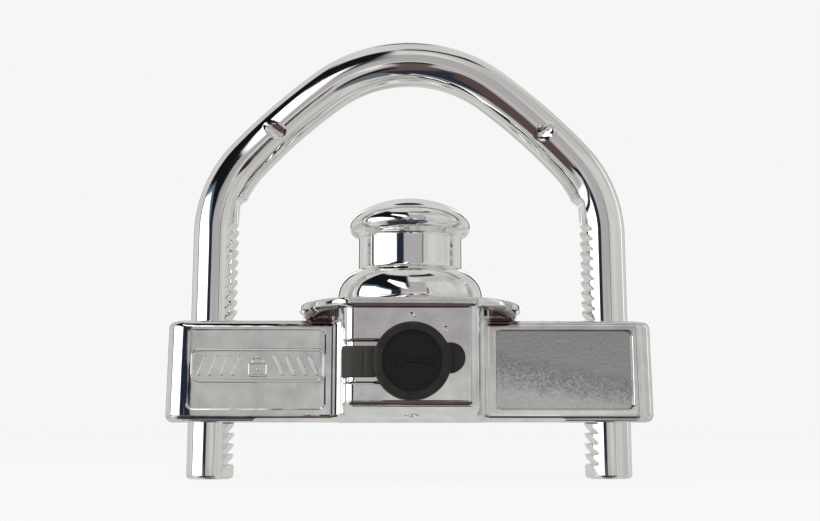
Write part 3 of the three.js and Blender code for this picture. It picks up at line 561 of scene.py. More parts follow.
def make_card():
    """A white card under the lock, seen only in reflections."""
    reach, front, back = 0.055, -0.03, 0.12
    bpy.ops.mesh.primitive_grid_add(x_subdivisions=6, y_subdivisions=6, size=1)
    card = bpy.context.object
    card.name = "reflected_card"
    card.scale = (2 * reach, back - front, 1)
    card.location = (0, (front + back) / 2, CAD_LOW.z - 0.0004)
    card.visible_camera = False
    card.visible_shadow = False
    card.visible_diffuse = False
    material = bpy.data.materials.new("white_card")
    material.use_nodes = True
    g = Graph(material.node_tree)
    glow = g.node("ShaderNodeEmission", {"Color": seen(200, 200, 196), "Strength": 1})
    g.node("ShaderNodeOutputMaterial", {"Surface": glow.outputs[0]})
    card.data.materials.append(material)


def make_floor():
    """A plain pale floor at the foot of the legs, hidden from mirror reflections."""
    size = 6
    bpy.ops.mesh.primitive_grid_add(x_subdivisions=4, y_subdivisions=4, size=2 * size,
                                    location=(0, 0, CAD_LOW.z - 0.0002))
    floor = bpy.context.object
    floor.name = "studio_floor"
    floor.visible_glossy = False
    material = bpy.data.materials.new("floor_paper")
    material.use_nodes = True
    g = Graph(material.node_tree)
    paper = g.node("ShaderNodeBsdfDiffuse", {"Color": bright(0.06)})
    glow = g.node("ShaderNodeEmission", {"Color": bright(1), "Strength": 0.885})
    both = g.node("ShaderNodeAddShader", {0: paper.outputs[0], 1: glow.outputs[0]})
    g.node("ShaderNodeOutputMaterial", {"Surface": both.outputs[0]})
    floor.data.materials.append(material)


def make_camera():
    """Low, slightly left of the middle, looking up a little."""
    camera = bpy.data.cameras.new("camera")
    camera.sensor_width = 36
    camera.lens = 50.42
    camera.shift_y = -0.0402
    camera.clip_start, camera.clip_end = 0.01, 50
    obj = bpy.data.objects.new("camera", camera)
    bpy.context.scene.collection.objects.link(obj)
    obj.location = (-0.00838, -0.400, -0.0398)
    pitch, yaw = math.radians(9.72), math.radians(1.2)
    forward = Vector((math.sin(yaw) * math.cos(pitch), math.cos(yaw) * math.cos(pitch),
                      math.sin(pitch)))
    obj.rotation_euler = forward.to_track_quat("-Z", "Y").to_euler()
    bpy.context.scene.camera = obj


def make_lights():
    """One soft lamp above, for the rubber and the steel; mirrors don't see it."""
    light = bpy.data.lights.new("soft_top", "AREA")
    light.energy = 4
    light.size = 0.6
    obj = bpy.data.objects.new("soft_top", light)
    bpy.context.scene.collection.objects.link(obj)
    obj.location = (-0.25, -0.45, 0.55)
    obj.rotation_euler = (-obj.location).to_track_quat("-Z", "Y").to_euler()
    obj.visible_glossy = False


# ------------------------------------------------------------------ materials


def new_material(name):
    material = bpy.data.materials.new(name)
    material.use_nodes = True
    return material, Graph(material.node_tree)


def surface_coordinates(g):
    return g.node("ShaderNodeTexCoord").outputs["Object"]


def noise(g, place, size, detail=2.0, roughness=0.5):
    """Soft noise with features about size metres across."""
    made = g.node("ShaderNodeTexNoise", {"Vector": place, "Scale": 1 / size, "Detail": detail,
                                         "Roughness": roughness})
    return made.outputs[0]


def raised(g, height, depth, under=None):
    """A bump of that depth in metres."""
    made = g.node("ShaderNodeBump", {"Height": height, "Distance": depth, "Strength": 1.0})
    if under is not None:
        g.feed(made.inputs["Normal"], under)
    return made.outputs[0]


def remap(g, value, low, high):
    made = g.node("ShaderNodeMapRange", {"Value": value, "From Min": 0.3, "From Max": 0.7,
                                         "To Min": low, "To Max": high})
    return made.outputs[0]


def in_mm(g, place):
    """The position along each axis, in mm."""
    axes = g.node("ShaderNodeSeparateXYZ", {0: place}).outputs
    return [g.math("MULTIPLY", value, 1 / MM) for value in axes]


def metal(g, colour, rough, normal):
    shader = g.node("ShaderNodeBsdfPrincipled", {"Base Color": colour, "Metallic": 1.0,
                                                 "Roughness": rough, "Normal": normal})
    g.node("ShaderNodeOutputMaterial", {"Surface": shader.outputs[0]})


def plating(g, place, waves):
    """Normals with faint waves of that depth in metres, and the roughness."""
    normal = raised(g, noise(g, place, 0.006, 1.0), waves)
    normal = raised(g, noise(g, place, 0.0011, 2.0), 1.2e-6, normal)
    return normal, remap(g, noise(g, place, 0.012, 4.0, 0.65), 0.03, 0.075)


def chrome(name, waves):
    """Bright plating on a smooth piece."""
    material, g = new_material(name)
    normal, rough = plating(g, surface_coordinates(g), waves)
    metal(g, CHROME_TINT, rough, normal)
    return material


def cast_tint(g, place, x, z, panel, under):
    """Hazy plating, darker towards the top and speckled on the right panel, with painted dark
    red-brown shade under the flange.
    """
    haze = remap(g, noise(g, place, 0.008, 3.0, 0.6), 0, 1)
    tint = g.layer(bright(PLATING * 0.78), CHROME_TINT, haze)
    # On the right panel the colour gets darker towards the top, along a noisy sloping line, with
    # bluish specks in a middle band.
    rise = g.math("ADD", z, g.math("MULTIPLY", noise(g, place, 0.006, 3.0, 0.7), 9))
    rise = g.math("ADD", rise, g.math("MULTIPLY", g.math("ADD", x, -50), 0.17))
    panel_tone = g.layer(bright(PLATING * 0.74), bright(PLATING * 0.5), g.step(rise, -19, 3))
    specks = remap(g, noise(g, place, 0.0009, 3.0, 0.65), 0, 1)
    middle = g.band(rise, -25, -17, 3)
    panel_tone = g.layer(panel_tone, linear(62, 64, 74), g.both(specks, middle, 0.6))
    tint = g.layer(tint, panel_tone, panel)
    # Painted shade: a dark red-brown colour laid on the casting under the flange.
    return g.layer(tint, linear(104, 78, 76), g.math("MULTIPLY", under, 0.92))


def cast_chrome(name):
    """Plating on the casting, with orange peel, swells and a pitted spot."""
    material, g = new_material(name)
    place = surface_coordinates(g)
    x, y, z = in_mm(g, place)
    normal, rough = plating(g, place, 3.0e-5)
    face = g.below(y, -ARM_HALF_DEPTH + 1.6, 0.3)
    panel = g.both(face, g.band(x, PANEL_INNER_X, PANEL_OUTER_X, 0.4),
                   g.band(z, PANEL_BOTTOM, PANEL_TOP, 0.4))
    smooth = g.both(face, g.band(x, -PANEL_OUTER_X, -PANEL_INNER_X, 2))
    spot = g.both(g.band(x, -18, -9, 2.5), g.band(z, -36, -28.5, 2), g.below(y, -30, 0.5))
    for where, depth, size, *kind in ((panel, 7e-5, 0.0011, 3.0, 0.6),
                                      (smooth, 0.8e-5, 0.0016, 3.0, 0.6),
                                      (smooth, 3e-4, 0.013, 1.0),
                                      (spot, 4e-5, 0.0006, 4.0, 0.7)):
        peel = g.math("MULTIPLY", noise(g, place, size, *kind), where)
        normal = raised(g, peel, depth, normal)
    # Where the painted dark red-brown shade under the flange goes.
    under = g.both(g.band(g.math("ABSOLUTE", x), 26.5, 36.5, 1), g.below(y, -9, 3),
                   g.band(z, -7.2, FLANGE_BOTTOM - 0.3, 1))
    rough = g.math("ADD", rough, g.math("MULTIPLY", panel, 0.06))
    metal(g, cast_tint(g, place, x, z, panel, under), rough, normal)
    return material


def rubber(name):
    """Matt black moulded rubber, with painted shade in the cap's dish and a painted highlight on
    the strap's left part.
    """
    material, g = new_material(name)
    place = surface_coordinates(g)
    dust = noise(g, place, 0.004, 5.0, 0.65)
    colour = g.layer(linear(23, 22, 21), linear(40, 39, 36), remap(g, dust, 0, 1))
    x, _, z = in_mm(g, place)
    z = g.math("SUBTRACT", z, LOCK_Z)
    radius = g.math("SQRT", g.math("ADD", g.math("MULTIPLY", x, x), g.math("MULTIPLY", z, z)))
    # Painted shade: the rubber inside the cap's dish is made darker.
    colour = g.layer(linear(15, 15, 14), colour, g.step(radius, CAP_DISH_RADIUS, 0.4))
    # Painted highlight: the strap from about x = -12 mm leftwards is made paler, as if lit.
    colour = g.layer(colour, linear(62, 61, 56), g.math("MULTIPLY", g.below(x, -12, 4), 0.7))
    normal = raised(g, noise(g, place, 0.0005, 3.0), 1.5e-5)
    normal = raised(g, noise(g, place, 0.004, 2.0), 3e-5, normal)
    rough = remap(g, dust, 0.5, 0.68)
    shader = g.node("ShaderNodeBsdfPrincipled", {"Base Color": colour, "Roughness": rough,
                                                 "Normal": normal, "Specular IOR Level": 0.35})
    g.node("ShaderNodeOutputMaterial", {"Surface": shader.outputs[0]})
    return material


def plain_metal(name, light, dark, rough_low, rough_high, grain=(1, 1, 1), depth=4e-6):
    """Worked metal with fine scratches along one axis and faint stains."""
    material, g = new_material(name)
    place = surface_coordinates(g)
    stretched = g.node("ShaderNodeMapping", {"Vector": place, "Scale": grain}).outputs[0]
    scratches = noise(g, stretched, 0.0005, 3.0)
    stains = noise(g, place, 0.007, 4.0, 0.6)
    colour = g.layer(linear(*dark), linear(*light), remap(g, stains, 0, 1))
    normal = raised(g, scratches, depth)
    metal(g, colour, remap(g, scratches, rough_low, rough_high), normal)
    return material


# ------------------------------------------------------------------ shackle


def arc_distance(x, z, centre_x, centre_z, radius, start, end):
    angle = np.clip(np.arctan2(z - centre_z, x - centre_x), start, end)
    return np.hypot(x - centre_x - radius * np.cos(angle), z - centre_z - radius * np.sin(angle))


def centre_line_distance(x, z):
    """Distance from the shackle's centre line, in the XZ plane."""
    x = np.abs(x)
    bend_x = LEG_X - BEND_RADIUS
    reach = SHOULDER_RADIUS - BEND_RADIUS
    shoulder_x = bend_x - reach * math.cos(BEND_END)
    shoulder_z = BEND_START - reach * math.sin(BEND_END)
    crown_radius = SHOULDER_RADIUS + shoulder_x / math.cos(CROWN_START)
    crown_z = shoulder_z + (SHOULDER_RADIUS - crown_radius) * math.sin(CROWN_START)
    result = np.hypot(x - LEG_X, z - np.clip(z, LEG_BOTTOM - 20, BEND_START))
    for arc in ((bend_x, BEND_START, BEND_RADIUS, 0, BEND_END),
                (shoulder_x, shoulder_z, SHOULDER_RADIUS, BEND_END, CROWN_START),
                (0, crown_z, crown_radius, CROWN_START, math.pi / 2)):
        result = np.minimum(result, arc_distance(x, z, *arc))
    return result


def teeth_distance(x, z):
    """The notches: flat below, sloping above, with the tips left rounded."""
    depth_in = np.abs(x) - (LEG_X - BAR_RADIUS)
    rise = (z - TEETH_BOTTOM) % TOOTH_PITCH
    slope = (TOOTH_PITCH - 0.7) / TOOTH_DEPTH
    lean = math.hypot(1, slope)
    notch = trim((rise - (TOOTH_DEPTH - depth_in) * slope) / lean, -rise, 0)
    upper = trim((rise - TOOTH_PITCH - (TOOTH_DEPTH - depth_in) * slope) / lean,
                 TOOTH_PITCH - rise, 0)
    notch = np.minimum(notch, upper)
    notch = np.maximum(notch, depth_in - TOOTH_DEPTH)
    limits = slab(z, TEETH_BOTTOM, TEETH_BOTTOM + TOOTH_COUNT * TOOTH_PITCH - 0.7)
    return np.maximum(notch, limits)


def pinch_distance(x, y, z):
    """The small slanting notch that the bending tool leaves on each shoulder."""
    dx, dz = x - PINCH_X, z - PINCH_Z
    along = dx * math.cos(PINCH_TURN) + dz * math.sin(PINCH_TURN)
    over = dz * math.cos(PINCH_TURN) - dx * math.sin(PINCH_TURN)
    depth = y + BAR_RADIUS + 0.3
    away = np.sqrt((along / PINCH_STRETCH) ** 2 + over ** 2 + depth ** 2)
    return (away - PINCH_RADIUS) * 0.7


def shackle_distance(points):
    x, y, z = points.T
    bar = np.hypot(centre_line_distance(x, z), y) - BAR_RADIUS
    bar = trim(bar, LEG_BOTTOM - z, 1.4)
    bar = cut(bar, teeth_distance(x, z), 0.6)
    top = TEETH_BOTTOM + TOOTH_COUNT * TOOTH_PITCH - 2
    inner = np.abs(x) - (LEG_X - BAR_RADIUS + FLAT_DEPTH)
    flat = trim(inner, slab(z, top, FLAT_TOP), 1.5)
    bar = cut(bar, flat, 0.8)
    return cut(bar, pinch_distance(np.abs(x), y, z), 1.3)


def make_shackle(material):
    teeth_x = (LEG_X - BAR_RADIUS - 1, LEG_X - BAR_RADIUS + 4.5)
    axes = [
        graded(-77.2, 77.2, 0.8, 0.4, ((-teeth_x[1], -teeth_x[0]), teeth_x)),
        graded(-9.2, 9.2, 0.8, 0.8),
        graded(-59.2, 98, 0.8, 0.35, ((LEG_BOTTOM - 1, FLAT_TOP + 1),)),
    ]
    piece = solid_piece("shackle_bar", shackle_distance, axes)
    finish_piece(piece, "shackle", "shackle", material, "shackle")


# ------------------------------------------------------------------ crossbar casting


def housing_plan(x, y):
    """Distance to the housing's outline, with the hollow fillets that meet the arms."""
    depth = (10 - HOUSING_FRONT) / 2
    housing = box2(x, y - (10 + HOUSING_FRONT) / 2, HOUSING_HALF_WIDTH, depth, HOUSING_CORNER)
    arms = -ARM_HALF_DEPTH - y
    plan = join(housing, arms, HOUSING_COVE)
    plan = np.maximum(plan, np.abs(x) - HOUSING_HALF_WIDTH - HOUSING_COVE)
    return np.maximum(plan, y)


def sloped(rise, run, low, high):
    """Distance below a plane that falls from low to high over the run."""
    length = math.hypot(run[1] - run[0], high - low)
    across = (run[1] - run[0]) / length
    along = (high - low) / length
    return -across * (rise[1] - low) + along * (rise[0] - run[0])


def flange_distance(x, y, z):
    """Distances to the rim and to the root below it."""
    radius = np.hypot(x, y)
    rim = trim(radius - FLANGE_RADIUS, slab(z, FLANGE_BOTTOM, FLANGE_TOP), 1.1)
    rim = trim(rim, FLANGE_FRONT - y, 1.0)
    rim = cut(rim, trim(radius - SEAT_RADIUS, -z), 0.2)
    run = (HOUSING_FRONT, -ARM_HALF_DEPTH)
    front = sloped((y, z), run, FLANGE_BOTTOM, FLANGE_ROOT_FRONT)
    back = sloped((-y, z), run, FLANGE_BOTTOM, FLANGE_ROOT_BACK)
    cone = radius - FLANGE_ROOT_RADIUS + np.maximum(FLANGE_BOTTOM - z, 0) * FLANGE_ROOT_TAPER
    root = trim(cone / math.hypot(1, FLANGE_ROOT_TAPER), np.maximum(front, back), 0.8)
    root = trim(root, np.maximum(z - (FLANGE_TOP + FLANGE_BOTTOM) / 2, HOUSING_FRONT - y))
    return rim, root


def panel_distance(x, y, z, side, depth):
    middle_x = side * (PANEL_INNER_X + PANEL_OUTER_X) / 2
    middle_z = (PANEL_TOP + PANEL_BOTTOM) / 2
    half_x = (PANEL_OUTER_X - PANEL_INNER_X) / 2
    half_z = (PANEL_TOP - PANEL_BOTTOM) / 2
    outline = box2(x - middle_x, z - middle_z, half_x, half_z, 2)
    return trim(outline, y + ARM_HALF_DEPTH - depth, 0.3)


def channel_distance(x, y, z, outline):
    """The strap's channel round the housing's left corner."""
    depth = STRAP_THICKNESS - STRAP_PROUD + GAP
    channel = np.maximum(-depth - outline, np.abs(z - LOCK_Z) - CHANNEL_HALF_WIDTH)
    return np.maximum(channel, np.maximum(x + CYLINDER_HEAD_RADIUS, y - STRAP_END_Y - GAP))


def cut_holes(body, x, y, z):
    """Takes the bores, pockets and pits out of the casting."""
    side = np.abs(x)
    body = cut(body, np.hypot(side - LEG_X, y) - LEG_HOLE_RADIUS, 0.8)
    from_lock = np.hypot(x, z - LOCK_Z)
    bore = np.maximum(from_lock - CYLINDER_RADIUS - GAP, y - CYLINDER_BORE_END)
    body = cut(body, bore, 0.3)
    level = slab(z, POCKET_BOTTOM, POCKET_TOP)
    pocket = np.maximum(level, np.maximum(side - POCKET_HALF_LENGTH, POCKET_FRONT - y))
    window = np.maximum(slab(side, POCKET_HALF_LENGTH - 2.4, LEG_X), np.abs(y) + POCKET_FRONT)
    recess = np.maximum(from_lock - CAM_RECESS_RADIUS, CAM_RECESS_FRONT - y)
    body = cut(body, np.minimum(np.minimum(pocket, np.maximum(level, window)), recess))
    cover = box2(x, z - (COVER_TOP + COVER_BOTTOM) / 2, COVER_HALF_LENGTH + GAP,
                 (COVER_TOP - COVER_BOTTOM) / 2 + GAP, 3.3)
    cover = np.maximum(cover, ARM_HALF_DEPTH - COVER_THICKNESS - GAP - y)
    body = cut(body, cover, 0.3)
    pins = np.hypot(side - POST_PIN_X, z - POST_PIN_Z) - POST_PIN_HOLE
    body = cut(body, np.maximum(pins, POST_PIN_FRONT - y), 0.2)
    screw = np.maximum(np.hypot(x, y - SET_SCREW_Y) - SET_SCREW_HOLE, z - SET_SCREW_TOP)
    body = cut(body, screw, 0.25)
    for mark_x, mark_z in CAST_MARKS:
        away = (x - mark_x) ** 2 + (y - HOUSING_FRONT + 0.1) ** 2 + (z - mark_z) ** 2
        body = cut(body, np.sqrt(away) - CAST_MARK_RADIUS, 0.1)
    return body


def casting_distance(points):
    x, y, z = points.T
    middle, half = (ARM_TOP + ARM_BOTTOM) / 2, (ARM_TOP - ARM_BOTTOM) / 2
    end = ARM_HALF_LENGTH - ARM_DRAFT * (z - ARM_BOTTOM) / (ARM_TOP - ARM_BOTTOM)
    plan = box2(x, y, end, ARM_HALF_DEPTH, ARM_END_RADIUS)
    arms = trim(plan, np.abs(z - middle) - half, ARM_EDGE)
    outline = housing_plan(x, y)
    housing = trim(outline, ARM_BOTTOM - z, ARM_EDGE)
    chin = sloped((y, z), (HOUSING_FRONT, HOUSING_CHIN_END), HOUSING_CHIN, ARM_BOTTOM)
    housing = trim(housing, chin, 2.2)
    housing = trim(housing, z - (FLANGE_TOP + FLANGE_BOTTOM) / 2)
    rim, root = flange_distance(x, y, z)
    body = join(arms, root, 0.8)
    body = join(body, housing, 0.6)
    body = join(body, rim, 0.5)
    body = cut(body, panel_distance(x, y, z, 1, RIGHT_PANEL_DEPTH), 0.35)
    body = cut(body, panel_distance(x, y, z, -1, LEFT_PANEL_DEPTH), 0.3)
    body = cut(body, channel_distance(x, y, z, outline), 0.7)
    return cut_holes(body, x, y, z)


def make_casting(material):
    axes = [
        graded(-85.6, 85.6, 1.1, 0.55, ((-85, -74), (-61, -57), (-40, 40), (57, 61), (73.6, 85))),
        graded(-33, 40, 0.9, 0.5, ((-33, -11), (7, 14), (34, 39))),
        graded(-40.3, 1.9, 0.8, 0.4, ((-40.3, -32), (-29, -26), (-14, 1.5))),
    ]
    piece = solid_piece("crossbar_body", casting_distance, axes)
    finish_piece(piece, "crossbar", "crossbar_casting", material, "crossbar_casting")


def emblem_distance(points):
    """A plain padlock between two rows of ribs, inside a rounded frame."""
    x, y, z = points.T
    x, z = x - EMBLEM_X, z - EMBLEM_Z
    frame_line = np.abs(box2(x, z, EMBLEM_HALF_LENGTH, EMBLEM_HALF_HEIGHT, 2.5)) - 0.5
    body = np.abs(box2(x, z + 1.3, 2.9, 2.1, 0.6)) - 0.4
    hoop = np.maximum(np.abs(np.hypot(x, z - 0.9) - 1.8) - 0.4, 0.8 - z)
    mark = np.minimum(np.minimum(body, hoop), np.hypot(x, z + 1.3) - 0.6)
    offset = np.abs(x) - EMBLEM_RIB_START
    nearest = np.clip(np.round(offset / EMBLEM_RIB_PITCH), 0, EMBLEM_RIBS - 1)
    lean = z * 0.45 + offset - nearest * EMBLEM_RIB_PITCH
    rib = box2(lean, z, 0.75, EMBLEM_HALF_HEIGHT - 1.8, 0.6)
    outline = np.minimum(np.minimum(frame_line, mark), rib)
    return trim(outline, slab(y, -ARM_HALF_DEPTH - EMBLEM_HEIGHT, -ARM_HALF_DEPTH + 0.5), 0.3)


def make_emblem(material):
    length, height = EMBLEM_HALF_LENGTH + 1, EMBLEM_HALF_HEIGHT + 1
    axes = [
        graded(EMBLEM_X - length, EMBLEM_X + length, 0.22, 0.22),
        graded(-ARM_HALF_DEPTH - 0.7, -ARM_HALF_DEPTH + 0.9, 0.16, 0.16),
        graded(EMBLEM_Z - height, EMBLEM_Z + height, 0.22, 0.22),
    ]
    piece = solid_piece("arm_emblem", emblem_distance, axes)
    finish_piece(piece, "crossbar", "crossbar_casting", material)


# ------------------------------------------------------------------ ball post


def smooth_profile(points, steps):
    """A curve through [radius, height] points (Catmull-Rom)."""
    points = np.array(points, float)
    padded = np.vstack([2 * points[0] - points[1], points, 2 * points[-1] - points[-2]])
    result = []
    for i in range(len(points) - 1):
        a, b, c, d = padded[i:i + 4]
        for t in np.arange(steps) / steps:
            result.append(0.5 * (2 * b + (c - a) * t + (2 * a - 5 * b + 4 * c - d) * t * t
                                 + (3 * b - a - 3 * c + d) * t ** 3))
    result.append(points[-1])
    return np.array(result)


def lathe(name, profile, sides):
    """A turned piece. The profile runs between two points on the axis."""
    angle = np.linspace(0, 2 * math.pi, sides, endpoint=False)
    rings = profile[1:-1]
    points = []
    for radius, station in rings:
        ring = np.stack([radius * np.cos(angle), radius * np.sin(angle),
                         np.full(sides, station)], 1)
        points.append(ring)
    points = np.concatenate(points + [[[0, 0, profile[0][1]]], [[0, 0, profile[-1][1]]]])
    bottom, top = len(points) - 2, len(points) - 1
    faces = []
    for i in range(len(rings) - 1):
        for j in range(sides):
            k = (j + 1) % sides
            faces.append((i * sides + j, i * sides + k, (i + 1) * sides + k, (i + 1) * sides + j))
    last = (len(rings) - 1) * sides
    for j in range(sides):
        k = (j + 1) % sides
        faces.append((bottom, k, j))
        faces.append((top, last + j, last + k))
    return mesh_piece(name, points, faces)


def make_post(material):
    collar = smooth_profile([(24.2, 0.3), (25.1, 1.0), (25.5, 2.4), (25.4, 4.9), (24.6, 7.7),
                             (22.9, 10.3), (20.9, 11.9), (19.2, 12.5), (18.5, 13.0)], 6)
    neck = [(18.4, 13.4 + i) for i in range(11)]
    cap = smooth_profile([(18.4, 24.4), (19.0, 25.0), (20.4, 26.1), (21.3, 27.6), (21.4, 29.1),
                          (20.8, 30.7), (19.2, 32.6), (16.2, 34.6), (11.8, 36.5), (6.4, 37.9),
                          (0.01, 38.5)], 6)
    profile = [(0, 0.3)] + [tuple(p) for p in collar] + neck + [tuple(p) for p in cap]
    profile.append((0, 38.5))
    piece = lathe("ball_post_turned", profile, 144)
    finish_piece(piece, "crossbar", "ball_post", material, "ball_post")


# ------------------------------------------------------------------ dust cap and strap


def key_distance(x, y, z):
    """A plain key in relief on the floor of the cap's dish."""
    bow = np.abs(np.hypot(x + 4.4, z) - 1.75) - 0.45
    shaft = box2(x - 2.2, z, 4.8, 0.45, 0.2)
    bits = np.minimum(box2(x - 6.4, z + 0.9, 0.4, 1, 0.2), box2(x - 4.8, z + 0.7, 0.4, 0.8, 0.2))
    mark = np.minimum(np.minimum(bow, shaft), bits)
    return trim(mark, slab(y, CAP_DISH_FLOOR - 0.3, CAP_DISH_FLOOR + 0.1), 0.15)


def cap_distance(points):
    x, y, z = points.T
    z = z - LOCK_Z
    radius = np.hypot(x, z)
    body = trim(radius - CAP_RADIUS, slab(y, CAP_FRONT, CAP_BACK), 0.8)
    dish = trim(radius - CAP_DISH_RADIUS, y - CAP_DISH_FLOOR, 0.2)
    body = cut(body, dish, 0.3)
    tab = box2(x - 8.9, z - 1.1, 8, 4.8, 4.6)
    tab = trim(tab, slab(y, -34.8, -32.8), 0.5)
    body = join(body, tab, 0.4)
    bore = trim(radius - CAP_BORE_RADIUS, CAP_BORE_FLOOR - y, 0.3)
    return np.minimum(cut(body, bore, 0.3), key_distance(x, y, z))


def make_cap(material):
    axes = [
        graded(-13.2, 17.8, 0.34, 0.34),
        graded(-37.8, -30.6, 0.3, 0.15, ((-37.2, -36.1),)),
        graded(LOCK_Z - 13.2, LOCK_Z + 13.2, 0.34, 0.34),
    ]
    piece = solid_piece("dust_cap_moulding", cap_distance, axes)
    finish_piece(piece, "dust_cap", "dust_cap", material, "dust_cap")


def strap_path():
    """[x, y, normal x, normal y] along the strap's middle, from the cap to its end."""
    corner_x, corner_y = -HOUSING_HALF_WIDTH + HOUSING_CORNER, HOUSING_FRONT + HOUSING_CORNER
    radius = HOUSING_CORNER + STRAP_PROUD - STRAP_THICKNESS / 2
    path = [(x, corner_y - radius, 0, -1) for x in np.arange(STRAP_START_X, corner_x, -0.25)]
    for angle in np.linspace(0, math.pi / 2, 14):
        nx, ny = -math.sin(angle), -math.cos(angle)
        path.append((corner_x + radius * nx, corner_y + radius * ny, nx, ny))
    path += [(corner_x - radius, y, -1, 0) for y in np.arange(corner_y + 0.4, STRAP_END_Y, 0.4)]
    return path


def make_strap(material):
    ring_size = 28
    path = strap_path()
    points, faces = [], []
    for index, (x, y, nx, ny) in enumerate(path):
        thick = STRAP_THICKNESS / 2
        thick -= FOLD_THINNING * math.exp(-((x - FOLD_X) / FOLD_LENGTH) ** 2)
        closing = min(1, (index + 0.6) / 3, (len(path) - index - 0.4) / 3)
        width = STRAP_HALF_WIDTH - 0.5 * (1 - closing)
        for k in range(ring_size):
            angle = 2 * math.pi * (k + 0.5) / ring_size
            across, up = math.cos(angle), math.sin(angle)
            w = math.copysign(abs(across) ** 0.25, across) * width
            t = math.copysign(abs(up) ** 0.45, up) * thick
            points.append((x + nx * t, y + ny * t, LOCK_Z + w))
        if index:
            a, b = (index - 1) * ring_size, index * ring_size
            for k in range(ring_size):
                m = (k + 1) % ring_size
                faces.append((a + k, b + k, b + m, a + m))
    faces.append(tuple(range(ring_size)))
    last = (len(path) - 1) * ring_size
    faces.append(tuple(range(last + ring_size - 1, last - 1, -1)))
    piece = mesh_piece("cap_strap_band", points, faces)
    piece.data.materials.append(material)
    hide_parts("cap_strap")
    y, z = (HOUSING_FRONT - STRAP_PROUD + 0.2) * MM, LOCK_Z * MM
    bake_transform(piece)


# ------------------------------------------------------------------ lock and back


def plug_distance(points):
    x, y, z = points.T
    y, z = y - HOUSING_FRONT, z - LOCK_Z
    radius = np.hypot(x, z)
    head = trim(radius - PLUG_HEAD_RADIUS, slab(y, -2.2, -1), 0.25)
    body = np.minimum(head, np.maximum(radius - PLUG_RADIUS, slab(y, -1.6, PLUG_END)))
    a, b = (x - z) / math.sqrt(2), (x + z) / math.sqrt(2)
    keyway = np.maximum(box2(a, b + 0.2, 0.9, 3.4, 0.3), y - 18.5)
    warding = np.maximum(box2(a - 1, b - 0.8, 0.5, 0.5, 0.2), y - 18.5)
    return cut(body, np.minimum(keyway, warding), 0.2)


def cylinder_distance(points):
    x, y, z = points.T
    y, z = y - HOUSING_FRONT, z - LOCK_Z
    radius = np.hypot(x, z)
    head = trim(radius - CYLINDER_HEAD_RADIUS, slab(y, -2.4, -0.3), 0.4)
    shell = np.maximum(radius - CYLINDER_RADIUS, slab(y, -0.8, PLUG_END - GAP))
    body = cut(np.minimum(head, shell), np.maximum(radius - PLUG_HEAD_RADIUS - GAP, y + 0.7), 0.2)
    return np.maximum(body, PLUG_RADIUS + GAP - radius)


def cover_distance(points):
    x, y, z = points.T
    middle = (COVER_TOP + COVER_BOTTOM) / 2
    half = (COVER_TOP - COVER_BOTTOM) / 2
    outline = box2(x, z - middle, COVER_HALF_LENGTH, half, 3)
    body = trim(outline, slab(y, ARM_HALF_DEPTH - COVER_THICKNESS, ARM_HALF_DEPTH), 0.5)
    deep = ARM_HALF_DEPTH - y
    for screw_x, screw_z in itertools.product(COVER_SCREW_X, COVER_SCREW_Z):
        radius = np.hypot(x - screw_x, z - screw_z)
        body = cut(body, radius - SCREW_RADIUS - 0.25)
        cone = radius - SCREW_HEAD_RADIUS - 0.4 + np.maximum(deep, 0) * 0.7
        body = cut(body, cone / 1.22, 0.15)
    return body


def screw_distance(points):
    x, y, z = points.T
    radius = np.hypot(x, z)
    cone = (radius - SCREW_HEAD_RADIUS + np.maximum(-y - 0.3, 0) * 0.8) / 1.28
    head = trim(np.maximum(cone, -SCREW_HEAD_DEPTH - y), y, 0.2)
    body = np.minimum(head, np.maximum(radius - SCREW_RADIUS, slab(y, -9.3, -1)))
    return cut(body, np.maximum(np.abs(z) - 0.4, -0.9 - y), 0.08)


def make_lock(brass):
    around = (LOCK_Z - 11.2, LOCK_Z + 11.2)
    deep = (HOUSING_FRONT - 3, HOUSING_FRONT + 23)
    bands = ((HOUSING_FRONT - 3, HOUSING_FRONT),)
    axes = [graded(-11.2, 11.2, 0.4, 0.4), graded(*deep, 0.9, 0.2, bands),
            graded(*around, 0.4, 0.4)]
    piece = solid_piece("lock_cylinder_body", cylinder_distance, axes)
    finish_piece(piece, "crossbar", "lock_cylinder", brass, "lock_cylinder")
    axes = [graded(-7.6, 7.6, 0.25, 0.25), axes[1], graded(LOCK_Z - 7.6, LOCK_Z + 7.6, 0.25, 0.25)]
    piece = solid_piece("lock_plug_body", plug_distance, axes)
    finish_piece(piece, "lock_plug", "lock_plug", brass, "lock_plug")


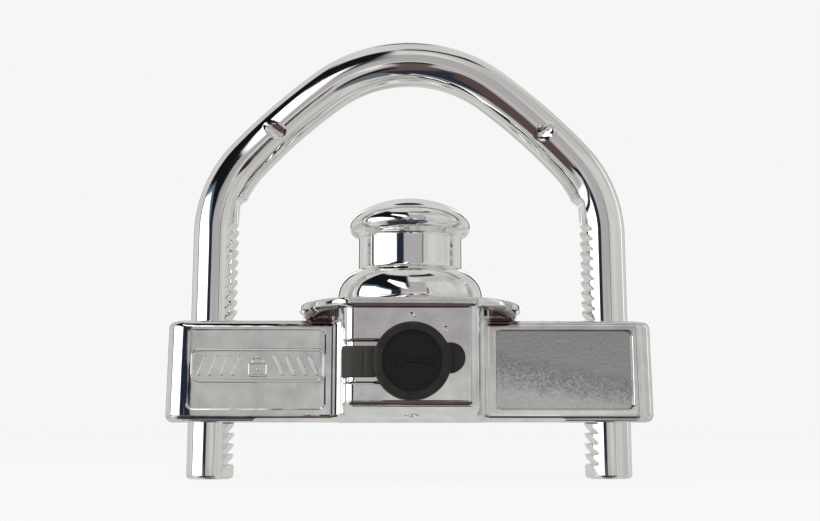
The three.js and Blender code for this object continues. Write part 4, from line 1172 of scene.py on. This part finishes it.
def make_cover(zinc, steel):
    bands_x = [(x - 3.2, x + 3.2) for x in COVER_SCREW_X] + [(-59, -54), (54, 59)]
    bands_z = [(z - 3.2, z + 3.2) for z in COVER_SCREW_Z]
    axes = [graded(-58.4, 58.4, 1.2, 0.3, bands_x), graded(7.2, 14, 0.4, 0.25, ((11, 14),)),
            graded(-35.6, -6.6, 1.2, 0.3, bands_z)]
    piece = solid_piece("rear_cover_plate", cover_distance, axes)
    finish_piece(piece, "crossbar", "rear_cover", zinc, "rear_cover")
    axes = [graded(-2.4, 2.4, 0.14, 0.14), graded(-9.6, 0.4, 0.4, 0.1, ((-1.5, 0.4),)),
            graded(-2.4, 2.4, 0.14, 0.14)]
    points, faces, normals = surface(screw_distance, axes)
    places = itertools.product(COVER_SCREW_X, COVER_SCREW_Z)
    for number, (x, z) in enumerate(places, 1):
        turn = 0.9 * number
        c, s = math.cos(turn), math.sin(turn)
        spin = np.array([[c, 0, s], [0, 1, 0], [-s, 0, c]])
        place = np.array([x, ARM_HALF_DEPTH - 0.2, z])
        piece = mesh_piece(f"cover_screw_head_{number}", points @ spin.T + place, faces,
                           normals @ spin.T)
        finish_piece(piece, "crossbar", "cover_screws", steel, f"cover_screw_{number}")


# ------------------------------------------------------------------ carried-over CAD nodes


def dress(node, material, bevel=0.15):
    """Gives a CAD node its material, and soft edges by modifiers."""
    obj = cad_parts[node]
    if not obj.material_slots:
        obj.data.materials.append(material)
    for slot in obj.material_slots:
        slot.material = material
    weld = obj.modifiers.new("weld", "WELD")
    weld.merge_threshold = 1e-6
    edge = obj.modifiers.new("edges", "BEVEL")
    edge.width = bevel * MM
    edge.segments = 2
    edge.limit_method = "ANGLE"
    edge.angle_limit = math.radians(35)
    edge.use_clamp_overlap = True


def dress_nodes(steel, zinc, brass):
    for node in ("post_pin_left", "post_pin_right", "cylinder_set_screw", "cam_screw",
                 "cam_pin_upper", "cam_pin_lower", "left_pawl", "right_pawl"):
        dress(node, steel)
    dress("cam_disc", zinc)
    for index in range(1, 6):
        dress(f"wafer_{index}", brass, 0.08)
    for side in ("left", "right"):
        dress(f"{side}_pawl_spring", steel, 0.05)


# ------------------------------------------------------------------ everything


def main():
    settings = bpy.context.scene.view_settings
    settings.view_transform = "Standard"
    settings.look = "None"
    make_world()
    make_floor()
    make_card()
    make_camera()
    make_lights()
    bar_chrome = chrome("chrome_bar", 1.2e-5)
    casting_chrome = cast_chrome("chrome_casting")
    turned_chrome = chrome("chrome_post", 1.0e-5)
    black_rubber = rubber("black_rubber")
    steel = plain_metal("turned_steel", (186, 187, 190), (150, 150, 154), 0.22, 0.4)
    zinc = plain_metal("zinc_plate", (200, 202, 205), (172, 172, 178), 0.2, 0.36, (0.06, 1, 1))
    brass = plain_metal("brass", (226, 190, 110), (196, 158, 84), 0.16, 0.32)
    make_shackle(bar_chrome)
    make_casting(casting_chrome)
    make_emblem(turned_chrome)
    make_post(turned_chrome)
    make_cap(black_rubber)
    make_strap(black_rubber)
    make_lock(brass)
    make_cover(zinc, steel)
    dress_nodes(steel, zinc, brass)


main()
